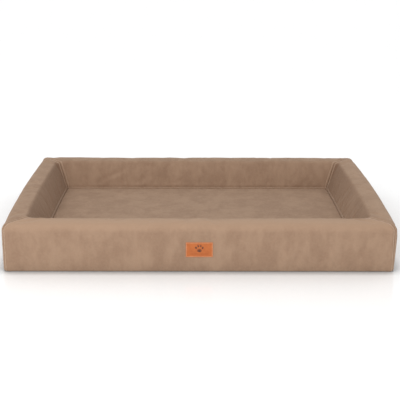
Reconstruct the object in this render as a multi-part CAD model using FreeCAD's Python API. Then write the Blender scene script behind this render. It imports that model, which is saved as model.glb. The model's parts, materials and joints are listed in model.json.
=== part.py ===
"""Pet cushion bed: a flat lying floor inside a four-sided foam rim, in a removable zipped cover.

Millimetres, +Z up. The origin is the middle of the underside. The front is towards -Y and the zip runs along
the back. A wall is drawn once as a section: u is the distance in from its outer face, and z is the height.
"""

import FreeCAD
import Part
import math
import os

V = FreeCAD.Vector
UP = V(0, 0, 1)

# Overall size
width = 1200.0  # along X, between the front corners
depth = 850.0  # along Y
height = 150.0
side_bow = 8.0  # how far each short side curves out at its middle
corner_radius = 20.0  # the rim's upright corners, seen from above

# The rim's section
outer_edge_radius = 19.0
inner_edge_radius = 18.0
rim_top_width = 74.0  # from the outer face to where the top would meet the sloping inner face
rim_floor_width = 100.0  # the same at the level of the lying floor
floor_level = 50.0
well_corner_radius = 4.0

# Materials
cover = 1.5  # thickness of the artificial leather
foam_gap = 0.3  # between the cover and the filling
thread = 0.8  # width of a row of stitches
thread_height = 0.45
thread_gap = 0.05
seam_row = 4.5  # from a corner seam to the row of stitches on each side of it
floor_seam_row = 5.0  # from the lying floor up to its row of stitches

# Label
label_width = 80.0
label_height = 45.0
label_thickness = 1.2
label_level = 72.0
label_corner = 3.0
label_margin = 3.5  # from the label's edge in to its stitches
emblem_height = 0.3
toe_pads = [(-8.5, 3.0, 20), (-3.2, 8.0, 6), (3.2, 8.0, -6), (8.5, 3.0, -20)]  # x, z from the middle, turn
toe_pad_half = (2.3, 3.4)
heel_pad_half = (6.0, 4.8)
heel_pad_drop = 4.5

# Zip, along the back wall
zip_level = 25.0
zip_half = 480.0
zip_slot_half = 7.0  # half the gap that the cover leaves over the chain
slot_spare = 2.0  # how far the gap goes on past each end of the zip
tape_thickness = 0.6
tape_width = 15.0
chain_gap = 0.8  # from the zip's middle line to each coil
coil_width = 2.5
coil_height = 2.2
stop_length = 4.0
stop_proud = 0.2  # how far a stop stands above the coils
stop_play = 0.5  # from a stop to the coils' end
zip_row = 2.5  # from the edge of the gap out to its row of stitches

# Slider and pull tab
slider_length = 12.0
slider_half_width = 4.7
slider_plate = 1.1
slider_corner = 1.5
slider_flange = 1.0
flange_play = 0.5  # between a flange and the tape
slider_post = 3.0  # length of the post that parts the coils
slider_post_half = 0.5
slider_play = 0.3
bridge_half_length = 4.2
bridge_half_width = 1.0
bridge_thickness = 1.2
pin_radius = 0.7
pull_arm_inner = 1.5
pull_arm_outer = 3.6
pull_arm_length = 9.0
pull_length = 34.0
pull_half_width = 4.5
pull_corner = 2.5
pull_hole_radius = 2.2
pull_hole_margin = 6.0  # from the tab's end in to the middle of its hole

# Room for cutting
spare = 60.0  # how far a piece is drawn past what it is cut to
cut = 5.0  # how far a cutter stands out of what it cuts
smallest_row = 20.0  # mm3: a row's crumb on the next wall is left out

# Worked out from the sizes above
half_width = width / 2
half_depth = depth / 2
bow_radius = (half_depth**2 + side_bow**2) / (2 * side_bow)
bow_centre = half_width + side_bow - bow_radius
lean = math.atan2(rim_floor_width - rim_top_width, height - floor_level)
under_floor = floor_level - cover
foam_inset = cover + foam_gap
tape_face = half_depth - cover
tape_back = tape_face - tape_thickness
coil_face = tape_face + coil_height
plate_face = coil_face + slider_play + slider_plate
pin_level = plate_face + slider_play + pin_radius
slider_back = tape_back - slider_play
slider_closed = zip_half - stop_length - 2 * stop_play - slider_length / 2

# Each wall is drawn as the front or the left one. The back and the right one are turned half way round.
FRONT, LEFT = "front", "left"


def save(name, shape):
    shape.exportStep("parts/" + name + ".step")
    print(f"{name}: {len(shape.Solids)} solid(s), {shape.Volume / 1000:.1f} cm3, valid {shape.isValid()}")


def block(low, high):
    """A box between two corners."""
    return Part.makeBox(high[0] - low[0], high[1] - low[1], high[2] - low[2], V(*low))


# ---- Plan ----


def corner(inset):
    """The plan's corner towards +X and +Y, moved in by inset from both sides."""
    y = half_depth - inset
    return V(bow_centre + math.sqrt((bow_radius - inset) ** 2 - y**2), y, 0)


def plan_prism(inset, low, high, radius):
    """The plan moved in by inset: straight front and back, bowed sides, rounded corners."""
    c = corner(inset)
    bow = bow_centre + bow_radius - inset
    edges = [
        Part.LineSegment(V(-c.x, -c.y, low), V(c.x, -c.y, low)),
        Part.Arc(V(c.x, -c.y, low), V(bow, 0, low), V(c.x, c.y, low)),
        Part.LineSegment(V(c.x, c.y, low), V(-c.x, c.y, low)),
        Part.Arc(V(-c.x, c.y, low), V(-bow, 0, low), V(-c.x, -c.y, low)),
    ]
    solid = Part.Face(Part.Wire([e.toShape() for e in edges])).extrude(V(0, 0, high - low))
    upright = [e for e in solid.Edges if e.Length < high - low + 0.01 and abs(e.tangentAt(0).z) > 0.9]
    return solid.makeFillet(radius, upright)


def corner_rounder(inset, low, high, radius):
    """A prism that leaves the walls' faces alone and only rounds their upright corners."""
    c = corner(inset + radius)
    out = V(c.x - bow_centre, c.y, 0)
    out.normalize()
    slant = out + V(0, 1, 0)
    slant.normalize()
    far = radius + spare
    steps = [out * far, out * radius, slant * radius, V(0, radius, 0), V(0, far, 0)]
    paths = []
    for sx, sy in ((1, 1), (-1, 1), (-1, -1), (1, -1)):
        path = [V(sx * (c.x + d.x), sy * (c.y + d.y), low) for d in steps]
        paths.append(path if sx == sy else path[::-1])
    edges = []
    for path, following in zip(paths, paths[1:] + paths[:1]):
        edges.append(Part.LineSegment(path[0], path[1]))
        edges.append(Part.Arc(*path[1:4]))
        edges.append(Part.LineSegment(path[3], path[4]))
        edges.append(Part.LineSegment(path[4], following[0]))
    return Part.Face(Part.Wire([e.toShape() for e in edges])).extrude(V(0, 0, high - low))


def mitre_cell(side):
    """The space that the front or the left wall may fill: it ends in the mitre planes through the corners."""
    step = (corner(rim_floor_width) - corner(0)) / rim_floor_width
    out = corner(0) - step * spare
    far = corner(0) + step * (rim_floor_width + spare)
    if side == FRONT:
        points = [(-out.x, -out.y), (out.x, -out.y), (far.x, -far.y), (-far.x, -far.y)]
    else:
        points = [(-out.x, -out.y), (-out.x, out.y), (-far.x, far.y), (-far.x, -far.y)]
    loop = [V(x, y, -cut) for x, y in points]
    return Part.Face(Part.makePolygon(loop + loop[:1])).extrude(UP * (height + 2 * cut))


# ---- A wall's section ----


def inner_face(inset, z):
    """u of the sloping inner face at height z, moved in by inset."""
    return rim_top_width + (height - z) * math.tan(lean) - inset / math.cos(lean)


def rounded(centre, radius, start, end):
    """An arc from one angle to another, in degrees from +u towards +z."""
    angles = [math.radians(a) for a in (start, (start + end) / 2, end)]
    return Part.Arc(*[centre + V(radius * math.cos(a), 0, radius * math.sin(a)) for a in angles])


def outline(inset, bottom, end):
    """Up the outer face, over the top and down the inner face to height end, moved in by inset."""
    outer = V(outer_edge_radius, 0, height - outer_edge_radius)
    inner_u = inner_face(0, height - inner_edge_radius) - inner_edge_radius / math.cos(lean)
    inner = V(inner_u, 0, height - inner_edge_radius)
    first = rounded(outer, outer_edge_radius - inset, 180, 90)
    second = rounded(inner, inner_edge_radius - inset, 90, math.degrees(lean))
    return [
        Part.LineSegment(V(inset, 0, bottom), first.StartPoint),
        first,
        Part.LineSegment(first.EndPoint, second.StartPoint),
        second,
        Part.LineSegment(second.EndPoint, V(inner_face(inset, end), 0, end)),
    ]


def wall(side, inset, bottom, end, spread=0.0):
    """The front or left wall, moved in by inset and rounded at the corners. Spread widens it below end."""
    edges = outline(inset, bottom, end)
    u = inner_face(inset, end)
    turns = [V(u, 0, end), V(u + spread, 0, end), V(u + spread, 0, bottom), V(inset, 0, bottom)]
    turns = turns if spread else turns[1:]
    edges += [Part.LineSegment(a, b) for a, b in zip(turns, turns[1:])]
    face = Part.Face(Part.Wire([e.toShape() for e in edges]))
    if side == FRONT:
        half = half_width + spare
        face.translate(V(0, -half, 0))
        solid = face.extrude(V(0, 2 * half, 0))
        solid.rotate(V(0, 0, 0), UP, 90)
        solid.translate(V(0, -half_depth, 0))
    else:
        turn = math.degrees(math.asin((half_depth + spare) / bow_radius))
        pivot = V(bow_radius, 0, 0)
        face.rotate(pivot, UP, -turn)
        solid = face.revolve(pivot, UP, 2 * turn)
        solid.translate(V(-half_width - side_bow, 0, 0))
    return solid.common(corner_rounder(inset, bottom - cut, height + cut, corner_radius - inset))


def turned(shape):
    """The shape turned half way round the middle of the bed."""
    copy = shape.copy()
    copy.rotate(V(0, 0, 0), UP, 180)
    return copy


# ---- Cover ----


def sleeve(side):
    """The cover over one wall: up the outer face, over the top and down to the lying floor."""
    panel = wall(side, 0, cover, under_floor)
    hollow = wall(side, cover, cover - cut, under_floor, spread=4 * cut)
    return panel.cut(hollow).common(mitre_cell(side))


def with_zip_slot(panel):
    end = zip_half + slot_spare
    low = (-end, half_depth - cut, zip_level - zip_slot_half)
    return panel.cut(block(low, (end, half_depth + cut, zip_level + zip_slot_half)))


def thread_line(side, slab, end):
    """The stitches where a thin slab crosses a wall's surface, down to height end on the inner face."""
    outside = wall(side, -thread_gap - thread_height, cover + 1, end)
    strip = outside.common(slab).common(mitre_cell(side))
    return strip.cut(wall(side, -thread_gap, cover - cut, end, spread=4 * cut)).Solids


def corner_rows():
    """The two rows of stitches over the seam of the front left corner."""
    along = corner(0) - corner(rim_floor_width)
    angle = math.degrees(math.atan2(along.y, along.x))
    across = V(-along.y, along.x, 0)
    across.normalize()
    length = 2 * (rim_floor_width + spare)
    end = floor_level + floor_seam_row + thread
    rows = []
    for shift in (-seam_row, seam_row):
        slab = Part.makeBox(length, thread, height + 2 * cut, V(-spare, -thread / 2, -cut))
        slab.rotate(V(0, 0, 0), UP, angle)
        slab.translate(across * shift - corner(0))
        for side in (FRONT, LEFT):
            rows += [s for s in thread_line(side, slab, end) if s.Volume > smallest_row]
    return Part.makeCompound(rows)


def floor_rows():
    """The row of stitches along the foot of each wall, just above the lying floor."""
    low = floor_level + floor_seam_row - thread / 2
    band = plan_prism(rim_top_width, low, low + thread, well_corner_radius)
    end = floor_level + 1
    rows = Part.makeCompound(thread_line(FRONT, band, end) + thread_line(LEFT, band, end))
    return Part.makeCompound(rows.Solids + turned(rows).Solids)


# ---- Filling ----


def bolster(side):
    """A foam bar inside one wall."""
    return wall(side, foam_inset, foam_inset, under_floor - foam_gap).common(mitre_cell(side))


def with_zip_groove(bar):
    """The back bar is pressed in a little along the zip."""
    end = zip_half + 2 * slot_spare
    half = chain_gap + tape_width + foam_gap
    low = (-end, slider_back - slider_plate - foam_gap, zip_level - half)
    return bar.cut(block(low, (end, half_depth, zip_level + half)))


# ---- Label ----


def label_plate(inset, front, back):
    """A rounded rectangle the size of the label less inset, between two depths."""
    x = label_width / 2 - inset
    z = label_height / 2 - inset
    solid = block((-x, front, label_level - z), (x, back, label_level + z))
    short = [e for e in solid.Edges if abs(e.tangentAt(0).y) > 0.9]
    return solid.makeFillet(label_corner - inset / 2, short)


def pad(x, z, half_x, half_z, turn):
    """One oval pad of the paw print, standing on the label."""
    face = half_depth + label_thickness
    big, small = max(half_x, half_z), min(half_x, half_z)
    oval = Part.Ellipse(V(0, 0, 0), big, small).toShape()
    solid = Part.Face(Part.Wire([oval])).extrude(V(0, 0, emblem_height))
    solid.rotate(V(0, 0, 0), UP, 0 if half_x >= half_z else 90)
    solid.rotate(V(0, 0, 0), UP, turn)
    solid.rotate(V(0, 0, 0), V(1, 0, 0), 90)
    solid.translate(V(x, -face, label_level + z))
    return solid


def paw():
    pads = [pad(x, z, *toe_pad_half, turn) for x, z, turn in toe_pads]
    return Part.makeCompound(pads + [pad(0, -heel_pad_drop, *heel_pad_half, 0)])


# ---- Zip ----


def zip_strip(side, near, far, back, front, ends=zip_half):
    """A strip along one half of the zip, from near to far of its middle line. Side is 1 or -1."""
    low, high = sorted((zip_level + side * near, zip_level + side * far))
    return block((-ends, back, low), (ends, front, high))


def zip_rows():
    """The stitches that hold the tapes, round the gap in the cover."""
    off = zip_slot_half + zip_row
    back = half_depth + thread_gap
    front = back + thread_height
    end = zip_half + slot_spare + zip_row
    rows = [zip_strip(s, off - thread / 2, off + thread / 2, back, front, end - thread) for s in (1, -1)]
    for x in (-end, end):
        rows.append(block((x - thread / 2, back, zip_level - off), (x + thread / 2, front, zip_level + off)))
    return Part.makeCompound(rows)


def stops(x, near, far):
    """A stop crimped over the coils' end, at one side of the middle line or over both."""
    return block(
        (x - stop_length / 2, tape_face, zip_level + near),
        (x + stop_length / 2, coil_face + stop_proud, zip_level + far),
    )


def slider():
    """Two plates round the chain, joined by the post between the coils, with a bridge for the pull tab."""
    x, y, z = slider_closed, half_depth, zip_level
    half = slider_length / 2
    wide = slider_half_width
    under, over = slider_back, coil_face + slider_play
    back_plate = block((x - half, under - slider_plate, z - wide), (x + half, under, z + wide))
    front_plate = block((x - half, over, z - wide), (x + half, plate_face, z + wide))
    body = back_plate.fuse(front_plate)
    for s in (1, -1):
        low, high = sorted((z + s * wide, z + s * (wide - slider_flange)))
        body = body.fuse(block((x - half, tape_face + flange_play, low), (x + half, over, high)))
    nose = x + half
    post = block((nose - slider_post, under, z - slider_post_half), (nose, over, z + slider_post_half))
    body = body.fuse(post)
    length, across = bridge_half_length, bridge_half_width
    top = pin_level + pin_radius + slider_play + bridge_thickness
    arch = block((x - length, plate_face, z - across), (x + length, top, z + across))
    room = length - bridge_thickness
    window = block((x - room, plate_face, z - cut), (x + room, top - bridge_thickness, z + cut))
    body = body.fuse(arch.cut(window)).removeSplitter()
    corners = []
    for e in body.Edges:
        c = e.CenterOfMass
        at_corner = abs(abs(c.x - x) - half) < 0.01 and abs(abs(c.z - z) - wide) < 0.01
        if at_corner and abs(e.tangentAt(0).y) > 0.9:
            corners.append(e)
    return body.makeFillet(slider_corner, corners)


def pull_tab():
    """A pin under the slider's bridge, two arms beside it, and the tab, lying flat along the closed zip."""
    x, y, z = slider_closed, pin_level, zip_level
    tab = Part.makeCylinder(pin_radius, 2 * pull_arm_outer, V(x, y, z - pull_arm_outer), UP)
    for s in (1, -1):
        low, high = sorted((z + s * pull_arm_inner, z + s * pull_arm_outer))
        tab = tab.fuse(block((x - pull_arm_length, y - pin_radius, low), (x, y + pin_radius, high)))
        knuckle = Part.makeCylinder(pin_radius, pull_arm_outer - pull_arm_inner, V(x, y, low), UP)
        tab = tab.fuse(knuckle)
    start, end = x - pull_arm_length, x - pull_length
    plate = block((end, y - pin_radius, z - pull_half_width), (start, y + pin_radius, z + pull_half_width))
    upright = [e for e in plate.Edges if abs(e.tangentAt(0).y) > 0.9]
    plate = plate.makeFillet(pull_corner, upright)
    hole = Part.makeCylinder(pull_hole_radius, 2 * cut, V(end + pull_hole_margin, y - cut, z), V(0, 1, 0))
    return tab.fuse(plate).cut(hole).removeSplitter()


# ---- Everything ----

os.makedirs("parts", exist_ok=True)

long_sleeve, short_sleeve = sleeve(FRONT), sleeve(LEFT)
save("front_wall_sleeve", long_sleeve)
save("back_wall_sleeve", with_zip_slot(turned(long_sleeve)))
save("left_wall_sleeve", short_sleeve)
save("right_wall_sleeve", turned(short_sleeve))

long_bar, short_bar = bolster(FRONT), bolster(LEFT)
save("foam_front_bolster", long_bar)
save("foam_back_bolster", with_zip_groove(turned(long_bar)))
save("foam_left_bolster", short_bar)
save("foam_right_bolster", turned(short_bar))

save("floor_panel", plan_prism(rim_floor_width + 1, under_floor, floor_level, well_corner_radius))
save("base_panel", plan_prism(0, 0, cover, corner_radius))
base_inset = rim_floor_width + foam_gap
save("base_foam", plan_prism(base_inset, foam_inset, under_floor - foam_gap, well_corner_radius))

rows = corner_rows()
mirrored_rows = rows.mirror(V(0, 0, 0), V(1, 0, 0))
save("front_left_corner_stitching", rows)
save("front_right_corner_stitching", mirrored_rows)
save("back_left_corner_stitching", turned(mirrored_rows))
save("back_right_corner_stitching", turned(rows))
save("floor_seam_stitching", floor_rows())

label_face = -half_depth - label_thickness
save("label_patch", label_plate(0, label_face, -half_depth))
save("label_emblem", paw())
label_ring = label_plate(label_margin, label_face - thread_height, label_face)
label_middle = label_plate(label_margin + thread, label_face - cut, label_face + cut)
save("label_stitching", label_ring.cut(label_middle))

for name, s in (("upper", 1), ("lower", -1)):
    edge = chain_gap + tape_width
    save(name + "_zip_tape", zip_strip(s, chain_gap, edge, tape_face - tape_thickness, tape_face))
    coil_end = zip_half - stop_length - stop_play
    coil = zip_strip(s, chain_gap, chain_gap + coil_width, tape_face, coil_face, coil_end)
    save(name + "_zip_coil", coil)
stop_x = zip_half - stop_length / 2
pair = [stops(stop_x, chain_gap, chain_gap + coil_width), stops(stop_x, -chain_gap - coil_width, -chain_gap)]
save("zip_top_stops", Part.makeCompound(pair))
reach = chain_gap + coil_width
save("zip_bottom_stop", stops(-stop_x, -reach, reach))
save("zip_stitching", zip_rows())
save("zip_slider", slider())
save("zip_pull_tab", pull_tab())
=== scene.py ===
# %% [markdown]
# # A pet cushion bed
#
# The bed is a flat, firm lying floor inside a soft rim of foam. Its cover is a matte artificial leather
# with a nap like nubuck. Each side of the rim has one panel, which goes up the outer face, over the top and
# down the inner face. The panels meet in mitred seams at the corners, and two rows of topstitching run
# along each seam.
#
# The design holds every size and every moving part. It is loaded first, as a fixed frame, and nothing here
# moves it. Each piece made below takes the place of one plain part of that frame and rides on the same
# body.

# %% Load the fixed frame
import json
import math
import random

import bmesh
import bpy
import numpy as np
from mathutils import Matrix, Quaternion, Vector, noise

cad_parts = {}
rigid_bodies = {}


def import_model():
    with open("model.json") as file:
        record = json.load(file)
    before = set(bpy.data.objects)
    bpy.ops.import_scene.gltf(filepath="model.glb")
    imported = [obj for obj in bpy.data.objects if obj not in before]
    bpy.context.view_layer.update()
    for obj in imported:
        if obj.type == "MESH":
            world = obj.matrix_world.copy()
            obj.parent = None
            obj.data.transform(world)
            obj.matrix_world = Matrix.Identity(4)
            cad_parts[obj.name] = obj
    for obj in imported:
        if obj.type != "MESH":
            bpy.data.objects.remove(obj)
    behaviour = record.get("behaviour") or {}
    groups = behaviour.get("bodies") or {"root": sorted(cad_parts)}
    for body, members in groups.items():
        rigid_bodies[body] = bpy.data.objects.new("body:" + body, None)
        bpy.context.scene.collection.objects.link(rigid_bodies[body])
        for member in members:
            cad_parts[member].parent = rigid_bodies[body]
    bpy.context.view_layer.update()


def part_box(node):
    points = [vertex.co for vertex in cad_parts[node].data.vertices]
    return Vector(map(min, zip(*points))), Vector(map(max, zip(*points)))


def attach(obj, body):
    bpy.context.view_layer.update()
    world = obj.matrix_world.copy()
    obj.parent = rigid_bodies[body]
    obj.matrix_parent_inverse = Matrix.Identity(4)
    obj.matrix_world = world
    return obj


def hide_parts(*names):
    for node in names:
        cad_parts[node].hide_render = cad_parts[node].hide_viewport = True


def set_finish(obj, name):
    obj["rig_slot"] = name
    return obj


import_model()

MM = 0.001

# %% [markdown]
# ## Sizes
#
# The outside sizes are read from the frame, so that a piece always fits the design. What a box can't tell,
# such as the radius of an edge, is a named value here. Soft edges are a little rounder than the plain parts
# are.

# %% Read the sizes from the frame
base_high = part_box("base_panel")[1]
front_low, front_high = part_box("front_wall_sleeve")
floor_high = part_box("floor_panel")[1]

SIDE_BOW = 8 * MM  # how far each short side curves out at its middle
half_x = base_high.x - SIDE_BOW
half_y = base_high.y
rim_height = front_high.z
floor_level = floor_high.z
foot_width = front_high.y - front_low.y  # from the outer face to the foot of the inner face
print("the rim is", round(rim_height / MM), "mm high and", round(foot_width / MM), "mm thick at its foot")

# %% Name what the boxes don't tell
OUTER_EDGE = 21 * MM  # radius of the outer top edge
INNER_EDGE = 9 * MM
TOP_WIDTH = 74 * MM  # from the outer face to where the top would meet the inner face
TURN_UNDER = 4 * MM  # radius with which the cover turns under at the bottom
UNDER_RUN = 4 * MM  # how far it goes on underneath
CORNER = 15 * MM  # plan radius of the rim's upright corners
WELL_CORNER = 5 * MM  # the same inside, at the floor
WELL_TOP_CORNER = 30 * MM  # and at the top of the well
COVER = 1.5 * MM  # thickness of the artificial leather
TUCK = 2.5 * MM  # how far the foot of a wall goes below the lying floor
SEAM_ROW = 4.5 * MM  # from a seam to each row of stitches
FLOOR_ROW = 5 * MM  # from the lying floor up to its row of stitches


# %% [markdown]
# ## The rim's section
#
# A bolster like this is easiest to think of as one curve, the section, carried round a plan. The curve
# starts under the bed, goes up the outer face, over the top and down the inner face to the floor seam. It
# is sampled finely once, and then any point on it is found by its distance along the cover, because cloth
# doesn't stretch.


# %% Draw the section
def arc(centre, radius, start, end, steps=24):
    """Points on an arc from one angle to another, in degrees."""
    angles = np.radians(np.linspace(start, end, steps))
    return np.stack([centre[0] + radius * np.cos(angles), centre[1] + radius * np.sin(angles)], axis=1)


lean = math.atan2(foot_width - TOP_WIDTH, rim_height - floor_level)
inner_u = TOP_WIDTH + INNER_EDGE * math.tan(lean) - INNER_EDGE / math.cos(lean)
foot_z = floor_level - TUCK
foot_u = TOP_WIDTH + (rim_height - foot_z) * math.tan(lean)
lowest = 0.4 * MM
corners = np.concatenate([
    [(TURN_UNDER + UNDER_RUN, lowest)],
    arc((TURN_UNDER, lowest + TURN_UNDER), TURN_UNDER, 270, 180),
    arc((OUTER_EDGE, rim_height - OUTER_EDGE), OUTER_EDGE, 180, 90),
    arc((inner_u, rim_height - INNER_EDGE), INNER_EDGE, 90, math.degrees(lean)),
    [(foot_u, foot_z)],
])
steps = np.linalg.norm(np.diff(corners, axis=0), axis=1)
corner_r = np.concatenate([[0], np.cumsum(steps)])
section_length = corner_r[-1]
print("the cover measures", round(section_length / MM), "mm over the rim")


# %% Look up a place on the section
FINE = 0.2 * MM
fine_r = np.linspace(0, section_length, int(section_length / FINE))
fine_u = np.interp(fine_r, corner_r, corners[:, 0])
fine_z = np.interp(fine_r, corner_r, corners[:, 1])
fine_du = np.gradient(fine_u, fine_r)
fine_dz = np.gradient(fine_z, fine_r)


def section(r):
    """Distance in, height, and the direction of travel, at distance r along the section."""
    return [np.interp(r, fine_r, values) for values in (fine_u, fine_z, fine_du, fine_dz)]


def r_at_height(z):
    """Distance along the section to a height on the outer face."""
    rising = fine_r[: np.argmax(fine_z)]
    return np.interp(z, fine_z[: len(rising)], rising)


print("the outer face is upright from", round(r_at_height(lowest + TURN_UNDER) / MM), "mm along the cover")


# %% [markdown]
# ## The four walls
#
# Each wall is the same section carried along one side of the plan. A place on a wall has two numbers, as on
# the flat panel before it is sewn: c, the distance along the wall from its middle, and r, the distance over
# the section. Near a seam, c is measured square to the seam, so that rows of stitches run parallel to it
# even where the seam crosses the top at an angle.


# %% Carry the section round the plan
EDGE_BAND = 30 * MM  # beside a seam, where c is measured from the seam
FOOT_EXTRA = {"left": 6 * MM, "right": 11 * MM}  # how much thicker the foot of each short side is
TOP_LESS = {"left": 10 * MM, "right": 7 * MM}  # and how much narrower its top
FLAT_SHARE = 0.6  # how much of the top is crossed before the well's corner starts to round
LONG_FACE_FADE = 30 * MM  # from a long outer face in to where the short sides have their full shape


def ease(x):
    """From 0 to 1, smoothly."""
    x = np.clip(x, 0, 1)
    return x * x * (3 - 2 * x)


def plan_radius(u):
    """Radius of the corner of the outline that lies u in from the outer face."""
    down = np.clip((u - TOP_WIDTH) / (foot_u - TOP_WIDTH), 0, 1)
    inside = WELL_TOP_CORNER + down * (WELL_CORNER - WELL_TOP_CORNER)
    return np.maximum(CORNER - u, inside * ease((u / TOP_WIDTH - FLAT_SHARE) / (1 - FLAT_SHARE)))


def bowed(x, y):
    """Moves a plan place out with the curve of the short sides, whose tops are narrower and feet thicker.

    The long outer faces keep their places, because one of them holds the zip.
    """
    bow = SIDE_BOW * (1 - (y / half_y) ** 2) * ease(np.abs(x) / (half_x - foot_width))
    well = [0, half_x - foot_u, half_x - TOP_WIDTH, half_x]
    left = np.interp(-x, well, [0, -FOOT_EXTRA["left"], TOP_LESS["left"], 0])
    right = np.interp(x, well, [0, -FOOT_EXTRA["right"], TOP_LESS["right"], 0])
    inside = ease((half_y - np.abs(y)) / LONG_FACE_FADE)
    return x + bow * np.sign(x) + inside * (right - left), y


class Wall:
    """One side of the rim.

    Along and inward are plan directions, and out is how far its face is from the middle.
    """

    def __init__(self, along, inward, half, out):
        self.along = np.array(along, float)
        self.inward = np.array(inward, float)
        self.half = half
        self.out = out
        self.reach = half - CORNER + CORNER * math.pi / 4  # from the middle to the corner seam

    def outline(self, c, u, slant):
        """The plan place and outward direction at c on the outline u in from the outer face."""
        rho = plan_radius(u)
        quarter = rho * math.pi / 4
        run = self.half - u - rho
        q = self.reach - np.abs(c)
        band = EDGE_BAND * slant
        share = (q - EDGE_BAND) / (self.reach - EDGE_BAND)
        p = np.where(q < EDGE_BAND, q * slant, band + share * (run + quarter - band))
        turn = np.clip(math.pi / 4 - p / np.maximum(rho, 1e-9), 0, math.pi / 4)
        x = run - np.clip(p - quarter, 0, None) + rho * np.sin(turn)
        y = u + rho - rho * np.cos(turn)
        return np.sign(c) * x, y, np.sign(c) * np.sin(turn), -np.cos(turn)

    def world(self, x, y):
        """Turns a place along and in from this wall into x and y."""
        place = x[..., None] * self.along + (y - self.out)[..., None] * self.inward
        return place[..., 0], place[..., 1]

    def surface(self, c, r, sink=0.0):
        """Points and outward directions of the smooth wall, sunk by sink, at places c and r."""
        u, z, du, dz = section(r)
        x, y, out_x, out_y = self.outline(c, u, np.sqrt(1 + du**2))
        q = self.reach - np.abs(c)
        across, inward, up = out_x * dz, out_y * dz, du
        mirror = 0.5 * np.exp(-((q / (4 * MM)) ** 2))  # at the seam both walls agree on the direction
        side = np.sign(c)
        across, inward = (
            (1 - mirror) * across - mirror * side * inward,
            (1 - mirror) * inward - mirror * side * across,
        )
        px, py = self.world(x - sink * across, y - sink * inward)
        nx, ny = self.world(across, inward + self.out)
        px, py = bowed(px, py)
        points = np.stack(np.broadcast_arrays(px, py, z - sink * up), axis=-1)
        normals = np.stack(np.broadcast_arrays(nx, ny, up), axis=-1)
        return points, normals / np.linalg.norm(normals, axis=-1, keepdims=True)


walls = {
    "front": Wall((1, 0), (0, 1), half_x, half_y),
    "right": Wall((0, 1), (-1, 0), half_y, half_x),
    "back": Wall((-1, 0), (0, -1), half_x, half_y),
    "left": Wall((0, -1), (1, 0), half_y, half_x),
}
print("a long panel is", round(2 * walls["front"].reach / MM), "mm long at its outer edge")


# %% [markdown]
# ## Where the panel's points go
#
# A seam needs points a fraction of a millimetre apart to show its crease, and the middle of a panel needs
# far fewer. So each panel's grid is close beside the seams and opens out between them. This costs less than
# one even, fine grid, and the creases come from geometry, not only from bump.

# %% Space the grid
SEAM_STEPS = [0, 0.3, 0.7, 1.2, 1.8, 2.5, 3.3, 4.0, 4.5, 5.0, 5.8, 7.0, 8.5, 10.5, 13, 16, 20, 25]
FOOT_STEPS = [0, 0.5, 1.1, 1.8, 2.6, 3.6, 4.8, 6.0, 7.0, 7.6, 8.2, 9.2, 10.8, 13, 16, 19.5]
GRID_STEP = 4 * MM


def spaced(start, end, step):
    """Even places from start to end, without start and end themselves."""
    count = max(2, round((end - start) / step))
    return np.linspace(start, end, count + 1)[1:-1]


def columns(wall):
    """Places along a wall, close together beside its seams."""
    beside = wall.reach - np.array(SEAM_STEPS) * MM
    middle = spaced(-beside[-1], beside[-1], GRID_STEP)
    return np.concatenate([-beside, middle, beside[::-1]])


def rows():
    """Places over the section, close together at the turned-under bottom and above the floor."""
    foot = section_length - np.array(FOOT_STEPS) * MM
    bottom = np.arange(0, UNDER_RUN + 3 * TURN_UNDER, 1.6 * MM)
    middle = spaced(bottom[-1], foot[-1], GRID_STEP)
    return np.concatenate([bottom, middle, foot[::-1]])


print("a long panel has", len(columns(walls["front"])), "by", len(rows()), "points")


# %% [markdown]
# ## What sewing and foam do to the cover
#
# A topstitched seam has a crease where the panels meet, a raised strip over the turned-in edges, a groove
# under each row of stitches and a soft swelling beyond it, where the foam pushes the cover out. Bell curves
# added together draw all of that. Along the floor there is one row, and the edge of the wall stands up as a
# ridge.


# %% Shape a seam
def bell(x, middle, width):
    return np.exp(-(((x - middle) / width) ** 2))


def corner_relief(q):
    """How far the cover stands out beside a corner seam, at distance q from it."""
    crease = -2.2 * MM * np.exp(-np.abs(q / (1.1 * MM)) ** 1.4)
    strip = 0.7 * MM * bell(q, 2.4 * MM, 1.3 * MM)
    groove = -0.5 * MM * bell(q, SEAM_ROW, 0.8 * MM)
    swelling = 1.0 * MM * bell(q, 11 * MM, 5.5 * MM)
    return crease + strip + groove + swelling


def foot_relief(v):
    """The same beside the floor seam, at distance v up from the foot of the wall."""
    ridge = 1.1 * MM * bell(v, TUCK + 2.4 * MM, 1.7 * MM)
    groove = -0.6 * MM * bell(v, TUCK + FLOOR_ROW, 0.9 * MM)
    swelling = 1.2 * MM * bell(v, TUCK + 13 * MM, 6.5 * MM)
    return ridge + groove + swelling


print("the crease is", round(-corner_relief(np.array(0.0)) / MM, 1), "mm deep")

# %% [markdown]
# ## How the soft walls belly out
#
# Foam cut a little larger than its cover makes each face belly. The right-hand side is the fullest, and
# tucks in at the bottom, where the cover is sewn to its base. The left side is drawn flat. The back stays
# flat along its zip.

# %% Name the bellies
BELLY = {"front": 0.5 * MM, "right": 8.0 * MM, "back": 1.0 * MM, "left": 0.0 * MM}
TUCKED = {"front": 0.0 * MM, "right": 2.0 * MM, "back": 0.5 * MM, "left": 0.0 * MM}
TOP_CROWN = 1.5 * MM
INNER_BELLY = 2.5 * MM
BELLY_START = 22 * MM  # how soon beside a corner seam the belly sets in
BELLY_LEVEL = 0.64  # height of the fullest place, as a share of the outer face

face_start = r_at_height(lowest + TURN_UNDER)
face_end = r_at_height(rim_height - OUTER_EDGE)
top_start = face_end + OUTER_EDGE * math.pi / 2
top_end = top_start + inner_u - OUTER_EDGE
inner_start = top_end + INNER_EDGE * (math.pi / 2 - lean)


def hump(r, start, end, peak=0.5):
    """A smooth hill between two places on the section, highest at the share peak of the way."""
    share = np.clip((r - start) / (end - start), 0, 1)
    return np.sin(math.pi * share ** (math.log(0.5) / math.log(peak))) ** 1.5


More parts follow.
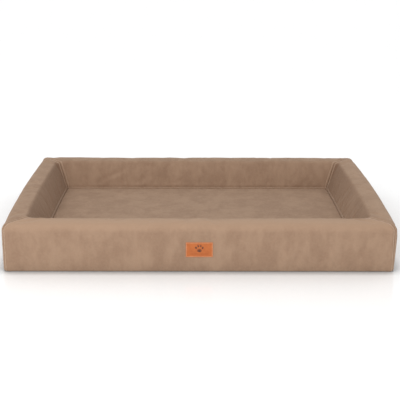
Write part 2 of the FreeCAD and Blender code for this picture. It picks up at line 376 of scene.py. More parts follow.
def belly(name, wall, c, r):
    """How far the foam pushes the cover out at a place on the wall."""
    q = wall.reach - np.abs(c)
    rise = 1 - np.exp(-q / BELLY_START)
    outer = BELLY[name] * hump(r, face_start - 8 * MM, top_start, BELLY_LEVEL)
    tuck = -TUCKED[name] * np.exp(-((r / (24 * MM)) ** 2))
    top = TOP_CROWN * hump(r, top_start - 12 * MM, top_end + 8 * MM)
    inner = INNER_BELLY * hump(r, inner_start - 6 * MM, section_length)
    return (outer + tuck + top + inner) * rise


print("the right side bellies out by", round(BELLY["right"] / MM), "mm")

# %% [markdown]
# ## Let the cloth settle
#
# The cover is a real sheet over soft foam, so Blender's cloth simulation gives it its slack. Each panel is
# simulated on a coarse grid: it is held along its seams, is cut a little too large, and is blown out
# gently, with gravity off. The foam behind it holds every other point by a weak spring. Only the movement
# in or out is kept, with a soft cap, and it is passed on to the fine grid. Zip and patch hold the cover
# flat, so the points there are held too.

# %% Simulate a panel
CLOTH_STEP = 11 * MM
CLOTH_FRAMES = 20
CLOTH_PRESSURE = 2.4
CLOTH_SLACK = 0.005  # how much too large the panel is cut
CLOTH_CAP = 3 * MM
CLOTH_DIP = 1.0 * MM  # the deepest that cloth goes into the foam
FOAM_GRIP = 0.2  # how firmly the foam holds the cloth, from 0 to 1


def quads(count_a, count_b):
    """Faces of a grid of count_a by count_b points."""
    index = np.arange(count_a * count_b).reshape(count_a, count_b)
    loops = [index[:-1, :-1], index[1:, :-1], index[1:, 1:], index[:-1, 1:]]
    return np.stack(loops, axis=-1).reshape(-1, 4)


def settle(points, held):
    """Where a grid of cloth goes when it is held at some points and blown out from behind."""
    count_a, count_b = points.shape[:2]
    mesh = bpy.data.meshes.new("settling_cloth")
    mesh.from_pydata(points.reshape(-1, 3).tolist(), [], quads(count_a, count_b).tolist())
    piece = bpy.data.objects.new("settling_cloth", mesh)
    bpy.context.scene.collection.objects.link(piece)
    sewn = piece.vertex_groups.new(name="sewn")
    sewn.add(range(held.size), FOAM_GRIP, "REPLACE")
    sewn.add(np.flatnonzero(held.ravel()).tolist(), 1.0, "REPLACE")
    cloth = piece.modifiers.new("cloth", "CLOTH")
    cloth.settings.vertex_group_mass = "sewn"
    cloth.settings.quality = 6
    cloth.settings.mass = 0.4
    cloth.settings.tension_stiffness = 30
    cloth.settings.compression_stiffness = 30
    cloth.settings.shear_stiffness = 12
    cloth.settings.bending_stiffness = 1.5
    cloth.settings.shrink_min = -CLOTH_SLACK
    cloth.settings.use_pressure = True
    cloth.settings.uniform_pressure_force = CLOTH_PRESSURE
    cloth.settings.effector_weights.gravity = 0
    cloth.collision_settings.use_collision = False
    cloth.point_cache.frame_start = 1
    cloth.point_cache.frame_end = CLOTH_FRAMES
    for step in range(1, CLOTH_FRAMES + 1):
        bpy.context.scene.frame_set(step)
    settled = piece.evaluated_get(bpy.context.evaluated_depsgraph_get()).to_mesh()
    places = np.empty(len(settled.vertices) * 3, np.float32)
    settled.vertices.foreach_get("co", places)
    bpy.data.objects.remove(piece)
    bpy.data.meshes.remove(mesh)
    bpy.context.scene.frame_set(1)
    return places.reshape(points.shape).astype(float)


def refined(values, old, new, axis):
    """Values on an old row of places, read at new places by smooth cubics."""
    values = np.moveaxis(values, axis, 0)
    slopes = np.gradient(values, old, axis=0)
    cell = np.clip(np.searchsorted(old, new) - 1, 0, len(old) - 2)
    gap = (old[cell + 1] - old[cell])[:, None]
    t = (new - old[cell])[:, None] / gap
    low, high = values[cell], values[cell + 1]
    low_slope, high_slope = slopes[cell] * gap, slopes[cell + 1] * gap
    mix = (2 * t**3 - 3 * t**2 + 1) * low + (3 * t**2 - 2 * t**3) * high
    mix += (t**3 - 2 * t**2 + t) * low_slope + (t**3 - t**2) * high_slope
    return np.moveaxis(mix, 0, axis)


def soft_cap(values, cap):
    """Values that never go past cap, with no sharp edge where they near it."""
    return cap * np.tanh(values / cap)


def billow(points, normals, held, old, new, cap=CLOTH_CAP):
    """How far the settled cloth stands out, on the fine grid."""
    moved = ((settle(points, held) - points) * normals).sum(axis=-1)
    moved = soft_cap(moved, np.where(moved < 0, CLOTH_DIP, cap))
    return refined(refined(moved, old[0], new[0], 0), old[1], new[1], 1)


print("cloth is settled on a grid of", round(CLOTH_STEP / MM), "mm, for", CLOTH_FRAMES, "frames")

# %% [markdown]
# ## Dapples and drag lines
#
# Nubuck over foam is never quite flat. It has shallow dapples, a little taller than they are wide, and a
# few soft drag lines where the cover is pulled. The dapples are noise, which gives the same hills every
# time. Each drag line is a shallow fold between two places on a wall.

# %% Name the drag lines
# Each has a wall, the two ends as c and r in millimetres, a depth and a half-width.
DRAGS = [
    ("back", (440, 290), (340, 253), 2.6, 9),
    ("back", (292, 302), (208, 270), 2.2, 10),
    ("back", (120, 306), (60, 280), 1.4, 9),
    ("back", (-250, 268), (-330, 292), 0.9, 12),
    ("right", (-82, 268), (-30, 336), 1.8, 9),
    ("right", (-200, 250), (-250, 300), 2.0, 9),
    ("right", (-302, 258), (-322, 300), 1.4, 8),
    ("left", (-28, 282), (-18, 336), 1.2, 10),
    ("left", (120, 272), (150, 330), 0.9, 12),
    ("front", (-260, 60), (-285, 110), 0.7, 14),
    ("front", (150, 40), (118, 96), 0.6, 16),
]
DAPPLE_DEPTH = 0.7 * MM
DAPPLE_WIDTH = 42 * MM
DAPPLE_STRETCH = 0.55  # dapples are taller than wide
WAVE_DEPTH = 1.1 * MM
CALM = {"front": 1.0, "right": 0.45, "back": 0.8, "left": 0.45}  # the short sides are drawn tighter
WAVE_LENGTH = 210 * MM


def drags(name, c, r):
    """The drag lines' folds: a valley with a softer ridge beside it."""
    total = np.zeros(np.broadcast(c, r).shape)
    for wall_name, start, end, depth, half in DRAGS:
        if wall_name != name:
            continue
        start, end = np.array(start) * MM, np.array(end) * MM
        length = np.linalg.norm(end - start)
        way = (end - start) / length
        along = (c - start[0]) * way[0] + (r - start[1]) * way[1]
        aside = (c - start[0]) * way[1] - (r - start[1]) * way[0]
        fade = bell(along, length / 2, 0.62 * length)
        valley = bell(aside, 0, half * MM) - 0.7 * bell(aside, 1.7 * half * MM, 1.2 * half * MM)
        total -= depth * MM * fade * valley
    return total


def hills(points, size, seed):
    """Smooth noise from -1 to 1, with hills about that size, at an array of points."""
    flat = points.reshape(-1, 3) / size + seed
    return np.array([noise.noise(Vector(p)) for p in flat.tolist()]).reshape(points.shape[:-1])


def dapples(points, seed):
    """Shallow dapples and long waves."""
    stretched = points * np.array([1, 1, DAPPLE_STRETCH])
    fine = hills(stretched, DAPPLE_WIDTH, seed) + 0.45 * hills(stretched, 0.45 * DAPPLE_WIDTH, seed + 9)
    return DAPPLE_DEPTH * fine + WAVE_DEPTH * hills(points, WAVE_LENGTH, seed + 31)


print(len(DRAGS), "drag lines, and dapples", round(DAPPLE_WIDTH / MM), "mm wide")

# %% [markdown]
# ## One panel
#
# Everything so far comes together here: the smooth wall, its belly, the settled cloth, the dapples and the
# seams. A panel keeps its grid, so that stitches and the patch can be set on the finished surface by c and
# r. Close to a seam the soft movement fades out, because both panels share the seam's line.

# %% Leave room for the zip and the patch
slider_low, slider_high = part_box("zip_slider")
zip_row_low, zip_row_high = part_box("zip_stitching")
patch_low, patch_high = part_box("label_patch")
ROW_WIDTH = 0.8 * MM  # width of a row of stitches in the frame
ZIP_ROW = 2.5 * MM  # from the edge of the zip's gap out to its row of stitches
ZIP_PAST = 30 * MM  # how far past the ends of the gap the cover is held flat
ZIP_FADE = (30 * MM, 40 * MM)  # over which it gets free again above the zip and beyond its ends
PATCH_HOLD = (24 * MM, 42 * MM)  # half of the flat place round the patch, up and along
PATCH_FADE = (22 * MM, 25 * MM)
zip_level = (slider_low.z + slider_high.z) / 2
slot_half = (zip_row_high.z - zip_row_low.z - ROW_WIDTH) / 2 - ZIP_ROW
slot_end = zip_row_high.x - ROW_WIDTH / 2 - ZIP_ROW
patch_level = (patch_low.z + patch_high.z) / 2
print("the zip's gap is", round(2 * slot_half / MM, 1), "mm high, at", round(zip_level / MM), "mm")


# %% Hold the cover flat there
def held_flat(name, c, r):
    """1 where the zip or the patch keeps the cover flat, 0 away from them."""
    z = np.where(r < face_end, section(r)[1], rim_height)
    if name == "back":
        level = ease((np.abs(z - zip_level) - 2 * slot_half) / ZIP_FADE[0])
        along = ease((np.abs(c) - slot_end - ZIP_PAST) / ZIP_FADE[1])
        return (1 - level) * (1 - along)
    if name == "front":
        level = ease((np.abs(z - patch_level) - PATCH_HOLD[0]) / PATCH_FADE[0])
        along = ease((np.abs(c) - PATCH_HOLD[1]) / PATCH_FADE[1])
        return 0.85 * (1 - level) * (1 - along)
    return np.zeros(np.broadcast(c, r).shape)


def slot_relief(c, r):
    """The folded hem round the zip's gap, and the groove under its stitches."""
    z = np.where(r < face_end, section(r)[1], rim_height)
    off = np.maximum(np.abs(z - zip_level) - slot_half, np.abs(c) - slot_end)
    hem = 0.4 * MM * ease(off / (0.9 * MM)) * (1 - ease((off - 4.2 * MM) / (2.2 * MM)))
    return hem - 0.35 * MM * bell(off, ZIP_ROW, 0.8 * MM)


# %% Make a panel's grid
class Panel:
    """A finished rim panel: its grid of points and outward directions, at places c and r."""

    def __init__(self, name, seed):
        self.name = name
        self.wall = walls[name]
        self.c, self.r = columns(self.wall), rows()
        if name == "back":
            near = np.array([-5, -3.4, -2.2, -1, -0.4, 0, 0.4, 1.6, 3]) * MM
            self.c = np.unique(np.concatenate([self.c, -slot_end + near, slot_end - near]).round(6))
            edges = [r_at_height(zip_level - slot_half) + near, r_at_height(zip_level + slot_half) - near]
            self.r = np.unique(np.concatenate([self.r, *edges]).round(6))
        c, r = self.c[:, None], self.r[None, :]
        smooth, normals = self.wall.surface(c, r)
        q = self.wall.reach - np.abs(c)
        v = section_length - r
        loose = ease(q / (26 * MM)) * ease(v / (20 * MM)) * ease((r - UNDER_RUN) / (20 * MM))
        free = 1 - held_flat(name, c, r)
        out = belly(name, self.wall, c, r) * free
        out = out + (self.billow() + CALM[name] * dapples(smooth, seed)) * loose * free
        out = out + drags(name, c, r) * loose
        out = out + corner_relief(q) * ease((r - 1 * MM) / (6 * MM)) + foot_relief(v) * ease(q / (3 * MM))
        pucker = 0.35 * MM * hills(smooth, 9 * MM, seed + 5)
        out = out + pucker * (bell(q, 6 * MM, 6 * MM) + bell(v, 9 * MM, 6 * MM)) * ease(q / (2 * MM))
        if name == "back":
            out = out + slot_relief(c, r)
        self.points = smooth + out[..., None] * normals
        self.points[..., 2] = np.maximum(self.points[..., 2], lowest)
        self.normals = normals

    def billow(self):
        """The settled cloth of this panel, on its fine grid."""
        c = np.linspace(-self.wall.reach, self.wall.reach, round(2 * self.wall.reach / CLOTH_STEP))
        r = np.linspace(0, section_length, round(section_length / CLOTH_STEP))
        points, normals = self.wall.surface(c[:, None], r[None, :])
        points = points + belly(self.name, self.wall, c[:, None], r[None, :])[..., None] * normals
        held = held_flat(self.name, c[:, None], r[None, :]) > 0.5
        held[[0, -1]] = True
        held[:, [0, -1]] = True
        return billow(points, normals, held, (c, r), (self.c, self.r))

    def at(self, c, r):
        """Points and outward directions of the finished panel at places c and r."""
        c, r = np.broadcast_arrays(np.asarray(c, float), np.asarray(r, float))
        i = np.clip(np.searchsorted(self.c, c) - 1, 0, len(self.c) - 2)
        j = np.clip(np.searchsorted(self.r, r) - 1, 0, len(self.r) - 2)
        s = np.clip((c - self.c[i]) / (self.c[i + 1] - self.c[i]), 0, 1)[..., None]
        t = np.clip((r - self.r[j]) / (self.r[j + 1] - self.r[j]), 0, 1)[..., None]
        found = []
        for grid in (self.points, self.normals):
            low = (1 - s) * grid[i, j] + s * grid[i + 1, j]
            high = (1 - s) * grid[i, j + 1] + s * grid[i + 1, j + 1]
            found.append((1 - t) * low + t * high)
        return found


panels = {name: Panel(name, seed) for seed, name in enumerate(walls, start=3)}
for name, panel in panels.items():
    print(name, "panel:", panel.points.shape[0], "by", panel.points.shape[1], "points")

# %% [markdown]
# ## Shared helpers for making pieces
#
# Each piece gets a name, rides on its body, takes the place of a node of the frame, and names the material
# slot that a scene can repaint. One helper does all of that, so that no piece is left without one of them.


# %% Make a piece
def new_piece(name, points, faces, body="bed", slot=None, replaces=(), masks=None):
    """A mesh object from points and faces, riding on a body and standing for nodes of the frame."""
    mesh = bpy.data.meshes.new(name)
    mesh.from_pydata(np.asarray(points).reshape(-1, 3).tolist(), [], [list(map(int, f)) for f in faces])
    mesh.validate()
    mesh.polygons.foreach_set("use_smooth", [True] * len(mesh.polygons))
    for mask, values in (masks or {}).items():
        layer = mesh.attributes.new(mask, "FLOAT", "POINT")
        layer.data.foreach_set("value", np.asarray(values, np.float32).ravel())
    piece = bpy.data.objects.new(name, mesh)
    bpy.context.scene.collection.objects.link(piece)
    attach(piece, body)
    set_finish(piece, slot)
    if replaces:
        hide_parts(*replaces)
    return piece


def thicken(piece, thickness, offset=-1.0):
    """Gives a single sheet its thickness, inwards unless offset says otherwise."""
    solid = piece.modifiers.new("thickness", "SOLIDIFY")
    solid.thickness = thickness
    solid.offset = offset


def tube_faces(rings, sides):
    """Faces of a tube of rings, with both of its ends closed."""
    index = np.arange(rings * sides).reshape(rings, sides)
    beside = np.roll(index, -1, axis=1)
    faces = np.stack([index[:-1], index[1:], beside[1:], beside[:-1]], axis=-1).reshape(-1, 4).tolist()
    return faces + [index[0].tolist(), index[-1][::-1].tolist()]


print("each piece is made by one helper")

# %% Make the four rim covers
INNER_SHADE = {"front": 0.8, "right": 0.65, "back": 0.0, "left": 0.95}  # how much painted shade darkens the inner face
FAR_SHADE = {"front": 0.0, "right": 0.85, "back": 0.0, "left": 0.55}  # and how much more so towards the back
TOP_HIGHLIGHT = {"front": 1.0, "right": 0.3, "back": 0.0, "left": 0.0}  # how much a painted highlight lightens the top
SHADE_TURN = 12 * MM  # how far it takes to go from the one to the other
FAR_START = 0.2  # lower starts the stronger painted shade nearer the back
FOOT_SHADE = (0.25, 11 * MM)  # how dark the painted shade at the foot of the outer face is, and how high it goes
covers = {}
for name, panel in panels.items():
    faces = quads(*panel.points.shape[:2])
    if name == "back":
        cell_c = (panel.c[:-1] + panel.c[1:]) / 2
        cell_z = section((panel.r[:-1] + panel.r[1:]) / 2)[1]
        in_slot = (np.abs(cell_c) < slot_end)[:, None] & (np.abs(cell_z - zip_level) < slot_half)[None, :]
        in_slot &= (panel.r[:-1] < face_end)[None, :]
        faces = faces[~in_slot.ravel()]
    q = panel.wall.reach - np.abs(panel.c)[:, None]
    v = (section_length - panel.r)[None, :]
    # seam drives the painted shade in the seams' creases and the painted highlight on the ridges beside them
    seam = np.maximum(np.exp(-q / (5 * MM)), np.exp(-v / (6 * MM)))
    # Painted shade: darker inside the rim, more so towards the back on the short sides, and at the foot of
    # the outer face.
    far = ease(panel.points[..., 1] / half_y + FAR_START)
    inner = (INNER_SHADE[name] + FAR_SHADE[name] * far) * ease((panel.r - top_end) / SHADE_TURN)
    deep = np.maximum(inner, FOOT_SHADE[0] * np.exp(-((panel.r / FOOT_SHADE[1]) ** 2)))
    # a painted highlight on the top, strongest on the front
    painted_highlight = TOP_HIGHLIGHT[name] * hump(panel.r, face_end - 3 * MM, top_end + 22 * MM, 0.4)[None, :]
    masks = dict(zip(("seam", "deep", "painted_highlight"), np.broadcast_arrays(seam, deep, painted_highlight)))
    covers[name] = new_piece(
        f"{name}_rim_cover", panel.points, faces, slot="cover_leather",
        replaces=[f"{name}_wall_sleeve"], masks=masks,
    )
    thicken(covers[name], COVER)
    first = panel.points[:-1, :-1]
    sides = np.cross(panel.points[1:, :-1] - first, panel.points[:-1, 1:] - first)
    area = np.linalg.norm(sides, axis=-1).sum()
    print(name, "cover:", len(faces), "faces,", round(area, 3), "square metres")

# %% [markdown]
# ## Flat panels with rounded corners
#
# The lying floor, the base and the patch are all rectangles with rounded corners. A square grid becomes one
# when the points of each corner square are drawn onto a quarter of a disc. The distance from the edge,
# which the same function gives, then shapes the rim of each of them.


# %% Round the corners of a grid
def side_places(half, step, close):
    """Places from -half to half, close together near the ends."""
    beside = half - np.array(close)
    inner = beside[-1]
    return np.concatenate([-beside, spaced(-inner, inner, step), beside[::-1]])


def rounded_sheet(half_w, half_h, corner, step, close):
    """Places of a rounded rectangle as two grids, and each place's distance from its edge."""
    x = side_places(half_w, step, close)[:, None]
    y = side_places(half_h, step, close)[None, :]
    x, y = np.broadcast_arrays(x, y)
    a = np.clip((np.abs(x) - half_w + corner) / corner, 0, 1)
    b = np.clip((np.abs(y) - half_h + corner) / corner, 0, 1)
    in_corner = (a > 0) & (b > 0)
    disc_a, disc_b = a * np.sqrt(1 - b**2 / 2), b * np.sqrt(1 - a**2 / 2)
    x = np.where(in_corner, np.sign(x) * (half_w - corner + corner * disc_a), x)
    y = np.where(in_corner, np.sign(y) * (half_h - corner + corner * disc_b), y)
    out_x, out_y = np.abs(x) - half_w + corner, np.abs(y) - half_h + corner
    past = np.hypot(np.clip(out_x, 0, None), np.clip(out_y, 0, None))
    past = past + np.minimum(np.maximum(out_x, out_y), 0)
    return x, y, np.clip(corner - past, 0, None)


print("a rounded sheet starts as a square grid")

# %% [markdown]
# ## The lying floor and the base
#
# The floor is one panel sewn in all round, drawn tight over its foam. At its edge it dives below its own
# level to meet the foot of the walls, which gives the dark line round the floor, and painted shade in its
# seam's crease darkens that line further. It gets its slack from the cloth simulation too. The base is a
# dark woven cloth with rubbery dots, so that the bed doesn't slide.

# %% Make the lying floor
FLOOR_CROWN = 5.5 * MM
CROWN_RUN = 42 * MM  # how far in from its edge the floor goes on rising
FLOOR_CAP = 2.5 * MM
FLOOR_CLOSE = [0, 0.0007, 0.0015, 0.0025, 0.0037, 0.0052, 0.007, 0.009, 0.012, 0.016, 0.021]

floor_half_x, floor_half_y = half_x - foot_u, half_y - foot_u
fx, fy, edge = rounded_sheet(floor_half_x, floor_half_y, WELL_CORNER, 6 * MM, FLOOR_CLOSE)
floor_smooth = np.stack([*bowed(fx, fy), np.full(fx.shape, floor_level)], axis=-1)
coarse_x = np.linspace(-floor_half_x, floor_half_x, 64)
coarse_y = np.linspace(-floor_half_y, floor_half_y, 42)
coarse = np.stack(np.broadcast_arrays(coarse_x[:, None], coarse_y[None, :], floor_level), axis=-1)
held = np.zeros(coarse.shape[:2], bool)
held[[0, -1]] = held[:, [0, -1]] = True
middle_row = (fx[:, fx.shape[1] // 2], fy[fy.shape[0] // 2])
rise = billow(coarse, np.array([0, 0, 1.0]), held, (coarse_x, coarse_y), middle_row, FLOOR_CAP)
loose = ease(edge / (40 * MM))
floor_z = floor_level + FLOOR_CROWN * (1 - np.exp(-edge / CROWN_RUN)) + rise * loose
floor_z = floor_z + 0.9 * dapples(floor_smooth, 17) * loose + 0.5 * MM * bell(edge, 9 * MM, 5 * MM)
floor_z = floor_z + 0.4 * MM * hills(floor_smooth, 14 * MM, 23) * bell(edge, 8 * MM, 8 * MM)
floor_z = floor_z - TUCK * np.exp(-((edge / (2.6 * MM)) ** 1.5))
floor_smooth[..., 2] = floor_z
# its seam mask gives the floor's edge the same painted crease shade and painted ridge highlight
floor_piece = new_piece(
    "lying_floor", floor_smooth, quads(*fx.shape), slot="cover_leather", replaces=["floor_panel"],
    masks={"seam": np.exp(-edge / (6 * MM))},
)
thicken(floor_piece, COVER)
print("the lying floor is", round(2 * floor_half_x / MM), "by", round(2 * floor_half_y / MM), "mm")

# %% Make the base and its dots
BASE_EDGE = TURN_UNDER + UNDER_RUN - 1 * MM
BASE_TOP = 1.3 * MM
BASE_CLOTH = 0.8 * MM
DOT_PITCH = 20 * MM
DOT_RADIUS = 2.6 * MM
DOT_PROUD = 0.5 * MM
DOT_SIDES = 10

bx, by, _ = rounded_sheet(
    half_x - BASE_EDGE, half_y - BASE_EDGE, CORNER - BASE_EDGE / 2, 12 * MM, [0, 0.002, 0.005, 0.01]
)
base_points = np.stack([*bowed(bx, by), np.full(bx.shape, BASE_TOP)], axis=-1)
base_piece = new_piece(
    "base_cloth", base_points, quads(*bx.shape)[:, ::-1], slot="base_fabric", replaces=["base_panel"]
)
thicken(base_piece, BASE_CLOTH, offset=1.0)

dot_points, dot_faces = [], []
turns = np.linspace(0, 2 * math.pi, DOT_SIDES, endpoint=False)
dot_rings = [(1.0, 0.0), (0.92, 0.55), (0.7, 0.9), (0.35, 1.0)]
for row, y in enumerate(np.arange(-half_y + 2 * DOT_PITCH, half_y - 1.5 * DOT_PITCH, DOT_PITCH * 0.87)):
    start = -half_x + 2 * DOT_PITCH + (row % 2) * DOT_PITCH / 2
    for x in np.arange(start, half_x - 1.5 * DOT_PITCH, DOT_PITCH):
        first = len(dot_points)
        for share, drop in dot_rings:
            ring = np.stack([x + share * DOT_RADIUS * np.cos(turns), y + share * DOT_RADIUS * np.sin(turns)])
            dot_points += [(px, py, DOT_PROUD * (1 - drop) + 0.02 * MM) for px, py in ring.T]
        for level in range(len(dot_rings) - 1):
            for k in range(DOT_SIDES):
                a, b = first + level * DOT_SIDES + k, first + level * DOT_SIDES + (k + 1) % DOT_SIDES
                dot_faces.append([b, a, a + DOT_SIDES, b + DOT_SIDES])
        dot_faces.append([first + (len(dot_rings) - 1) * DOT_SIDES + k for k in reversed(range(DOT_SIDES))])
        dot_faces.append([first + k for k in range(DOT_SIDES)])
dots = new_piece("base_grip_dots", dot_points, dot_faces, slot="base_fabric")
print("the base has", len(dot_points) // (DOT_SIDES * len(dot_rings)), "grip dots")

# %% [markdown]
# ## The patch
#
# A small orange-brown leather patch is sewn to the middle of the front. It is laid on the finished front
# cover, so that it follows the cover's shape. A line is pressed into it inside its stitches. Its mark is a
# plain paw print, with four toe pads and a heel pad, pressed dark into the leather.

# %% Lay the patch on the cover
PATCH_CORNER = 3 * MM
PATCH_EDGE = 0.8 * MM  # how far in its edge is rounded
PATCH_ROW = 2.6 * MM  # from its edge to its stitches
PATCH_LINE = 4.8 * MM  # from its edge to the pressed line
PATCH_BORDER = 3.8 * MM  # width of its paler border
PATCH_SPREAD = 1.5 * MM  # how much the soft leather spreads at each edge
RULE = (27 * MM, -13.6 * MM, 1.7 * MM)  # half-length, height and half-width of the pressed rule under the paw
patch_thickness = patch_high.y - patch_low.y
patch_half_w = (patch_high.x - patch_low.x) / 2 + PATCH_SPREAD
patch_half_h = (patch_high.z - patch_low.z) / 2 + PATCH_SPREAD


def on_front(x, z):
    """Points and outward directions of the front cover at a place x and a height z on its outer face."""
    return panels["front"].at(x, r_at_height(z))


def patch_height(edge):
    """How far the patch stands off the cover, by distance from its edge."""
    rounding = np.sqrt(1 - (1 - np.clip(edge / PATCH_EDGE, 0, 1)) ** 2)
    pressed = 0.28 * bell(edge, PATCH_ROW, 0.7 * MM) + 0.22 * bell(edge, PATCH_LINE, 0.5 * MM)
    padded = 0.15 * ease((edge - PATCH_LINE) / (8 * MM))
    return patch_thickness * (0.72 + 0.28 * rounding - pressed + padded)


close = [0, 0.0001, 0.00025, 0.00045, 0.0007, 0.001, 0.0016, 0.0023]
px, pz, patch_edge = rounded_sheet(patch_half_w, patch_half_h, PATCH_CORNER, 0.45 * MM, close)
cover_points, cover_normals = on_front(px, patch_level + pz)
from_rule = np.maximum(np.abs(px) - RULE[0], np.abs(pz - RULE[1]) - RULE[2])
rule = 1 - ease(from_rule / (0.8 * MM) + 0.5)
stands = patch_height(patch_edge) - 0.15 * patch_thickness * rule
patch_points = cover_points + stands[..., None] * cover_normals
patch = new_piece(
    "leather_patch", patch_points, quads(*px.shape), slot="label_leather", replaces=["label_patch"],
    masks={
        "edge": np.exp(-patch_edge / (0.7 * MM)), "border": ease((PATCH_BORDER - patch_edge) / (0.8 * MM)),
        "rule": rule,
    },
)
thicken(patch, 0.7 * patch_thickness)
print("the patch is", round(2 * patch_half_w / MM), "by", round(2 * patch_half_h / MM), "mm")

# %% Press the paw print
PAW_PROUD = 0.3 * MM
TOES = [(-10.2, 6.2, 20), (-3.9, 12.0, 6), (3.9, 12.0, -6), (10.2, 6.2, -20)]  # x, z in mm, turn in degrees
TOE_HALF = (2.9, 4.2)
HEEL = (0, -2.3, 0)
HEEL_HALF = (7.4, 5.8)


def paw_pad(x, z, turn, half):
    """One domed oval pad, following the patch."""
    rings, sides = 7, 36
    share = np.sin(np.linspace(0, math.pi / 2, rings))[1:]
    angles = np.linspace(0, 2 * math.pi, sides, endpoint=False)
    ox = np.concatenate([[0], (share[:, None] * half[0] * np.cos(angles)).ravel()])
    oz = np.concatenate([[0], (share[:, None] * half[1] * np.sin(angles)).ravel()])
    height = np.sqrt(1 - np.concatenate([[0], np.repeat(share, sides)]) ** 2) * 0.6 + 0.4
    height[-sides:] = 0
    t = math.radians(turn)
    px = (x + ox * math.cos(t) - oz * math.sin(t)) * MM
    pz = patch_level + (z + ox * math.sin(t) + oz * math.cos(t)) * MM
    edge = np.minimum(patch_half_w - np.abs(px), patch_half_h - np.abs(pz - patch_level))
    points, normals = on_front(px, pz)
    points = points + (patch_height(edge) + PAW_PROUD * height)[:, None] * normals
    faces = [[0, 1 + k, 1 + (k + 1) % sides] for k in range(sides)]
    for ring in range(rings - 2):
        for k in range(sides):
            a, b = 1 + ring * sides + k, 1 + ring * sides + (k + 1) % sides
            faces.append([a, a + sides, b + sides, b])
    faces.append([1 + (rings - 2) * sides + k for k in reversed(range(sides))])
    return points, faces


def joined(parts):
    """Several lots of points and faces as one."""
    points, faces = [], []
    for some_points, some_faces in parts:
        faces += [[i + len(points) for i in face] for face in some_faces]
        points += list(map(tuple, some_points))
    return points, faces


pads = [paw_pad(x, z, turn, TOE_HALF) for x, z, turn in TOES] + [paw_pad(*HEEL, HEEL_HALF)]
paw = new_piece("paw_print", *joined(pads), slot="label_print", replaces=["label_emblem"])
print("the paw print has", len(pads), "pads")

# %% [markdown]
# ## Thread, stitch by stitch
#
# Topstitching shows as short lengths of thread that come up through one needle hole and go down through the
# next. Each stitch is a small tube of its own, which lies on the finished cover and dives in at both ends.
# Two plies twist round each other, so the tube's section has two lobes that turn along it.

# %% Sew a row
THREAD = 1.25 * MM  # thickness of the thread
PITCH = 4.6 * MM  # from one needle hole to the next
STITCH_RINGS = 9
STITCH_SIDES = 8
TWIST = 2.2  # turns of the plies in one stitch
sewing = random.Random(11)


def stitch_row(points, normals, thread=THREAD, pitch=PITCH):
    """The stitches along a line of points on a surface, as points and faces."""
    step = np.linalg.norm(np.diff(points, axis=0), axis=1)
    length = np.concatenate([[0], np.cumsum(step)])
    count = max(1, round(length[-1] / pitch))
    made = length[-1] / count
    along = np.linspace(0, 1, STITCH_RINGS)
    around = np.linspace(0, 2 * math.pi, STITCH_SIDES, endpoint=False)
    sides = np.arange(STITCH_SIDES)
    ring_faces = [
        [k * STITCH_SIDES + s, k * STITCH_SIDES + (s + 1) % STITCH_SIDES,
         (k + 1) * STITCH_SIDES + (s + 1) % STITCH_SIDES, (k + 1) * STITCH_SIDES + s]
        for k in range(STITCH_RINGS - 1) for s in sides
    ]
    ring_faces += [list(sides[::-1]), [(STITCH_RINGS - 1) * STITCH_SIDES + s for s in sides]]
    all_points, all_faces = [], []
    for number in range(count):
        place = (number + 0.03 + 0.94 * along) * made
        centre = np.stack([np.interp(place, length, points[:, k]) for k in range(3)], axis=1)
        up = np.stack([np.interp(place, length, normals[:, k]) for k in range(3)], axis=1)
        lift = thread * (1.0 * np.sin(math.pi * along) ** 0.55 - 0.62)
        travel = np.gradient(centre, axis=0)
        aside = np.cross(travel, up)
        aside /= np.linalg.norm(aside, axis=1, keepdims=True)
        centre = centre + lift[:, None] * up + sewing.uniform(-0.12, 0.12) * MM * aside
        turn = around[None, :] + 0 * along[:, None]
        lobes = 1 + 0.13 * np.cos(2 * (turn - 2 * math.pi * TWIST * along[:, None]))
        radius = thread / 2 * lobes * (0.8 + 0.2 * np.sin(math.pi * along))[:, None]
        ring = np.cos(turn)[..., None] * aside[:, None] + np.sin(turn)[..., None] * up[:, None]
        ring *= radius[..., None]
        first = number * STITCH_RINGS * STITCH_SIDES
        all_points.append((centre[:, None] + ring).reshape(-1, 3))
        all_faces += [[first + i for i in face] for face in ring_faces]
    return np.concatenate(all_points), all_faces


def line_on(panel, c, r, count=400):
    """Points and directions along a straight run on a panel, from one place c, r to another."""
    share = np.linspace(0, 1, count)
    return panel.at(c[0] + share * (c[1] - c[0]), r[0] + share * (r[1] - r[0]))


print("a stitch is", round(PITCH / MM, 1), "mm long, in thread", THREAD / MM, "mm thick")

# %% Topstitch the corner seams
ROW_START = 6 * MM  # along the section, from the edge under the bed
corner_names = {
    "front_left": (("front", -1), ("left", 1)),
    "front_right": (("front", 1), ("right", -1)),
    "back_right": (("right", 1), ("back", -1)),
    "back_left": (("back", 1), ("left", -1)),
}
row_end = section_length - TUCK - FLOOR_ROW - THREAD
for corner, sides in corner_names.items():
    sewn_rows = []
    for side, end in sides:
        panel = panels[side]
        at_c = end * (panel.wall.reach - SEAM_ROW)
        sewn_rows.append(stitch_row(*line_on(panel, (at_c, at_c), (ROW_START, row_end))))
    thread_piece = new_piece(
        f"{corner}_corner_thread", *joined(sewn_rows), slot="topstitch_thread",
        replaces=[f"{corner}_corner_stitching"],
    )
    print(corner, "corner:", len(thread_piece.data.vertices) // (STITCH_RINGS * STITCH_SIDES), "stitches")

# %% Topstitch the foot of the walls
floor_rows = []
row_r = section_length - TUCK - FLOOR_ROW
for panel in panels.values():
    end = panel.wall.reach - 1.5 * MM
    floor_rows.append(stitch_row(*line_on(panel, (-end, end), (row_r, row_r), 1500)))
floor_thread = new_piece(
    "floor_seam_thread", *joined(floor_rows), slot="topstitch_thread", replaces=["floor_seam_stitching"]
)
print("floor seam:", len(floor_thread.data.vertices) // (STITCH_RINGS * STITCH_SIDES), "stitches")

# %% Stitch the patch and the zip
PATCH_THREAD = 0.75 * MM
PATCH_PITCH = 3.0 * MM
ZIP_THREAD = 0.7 * MM


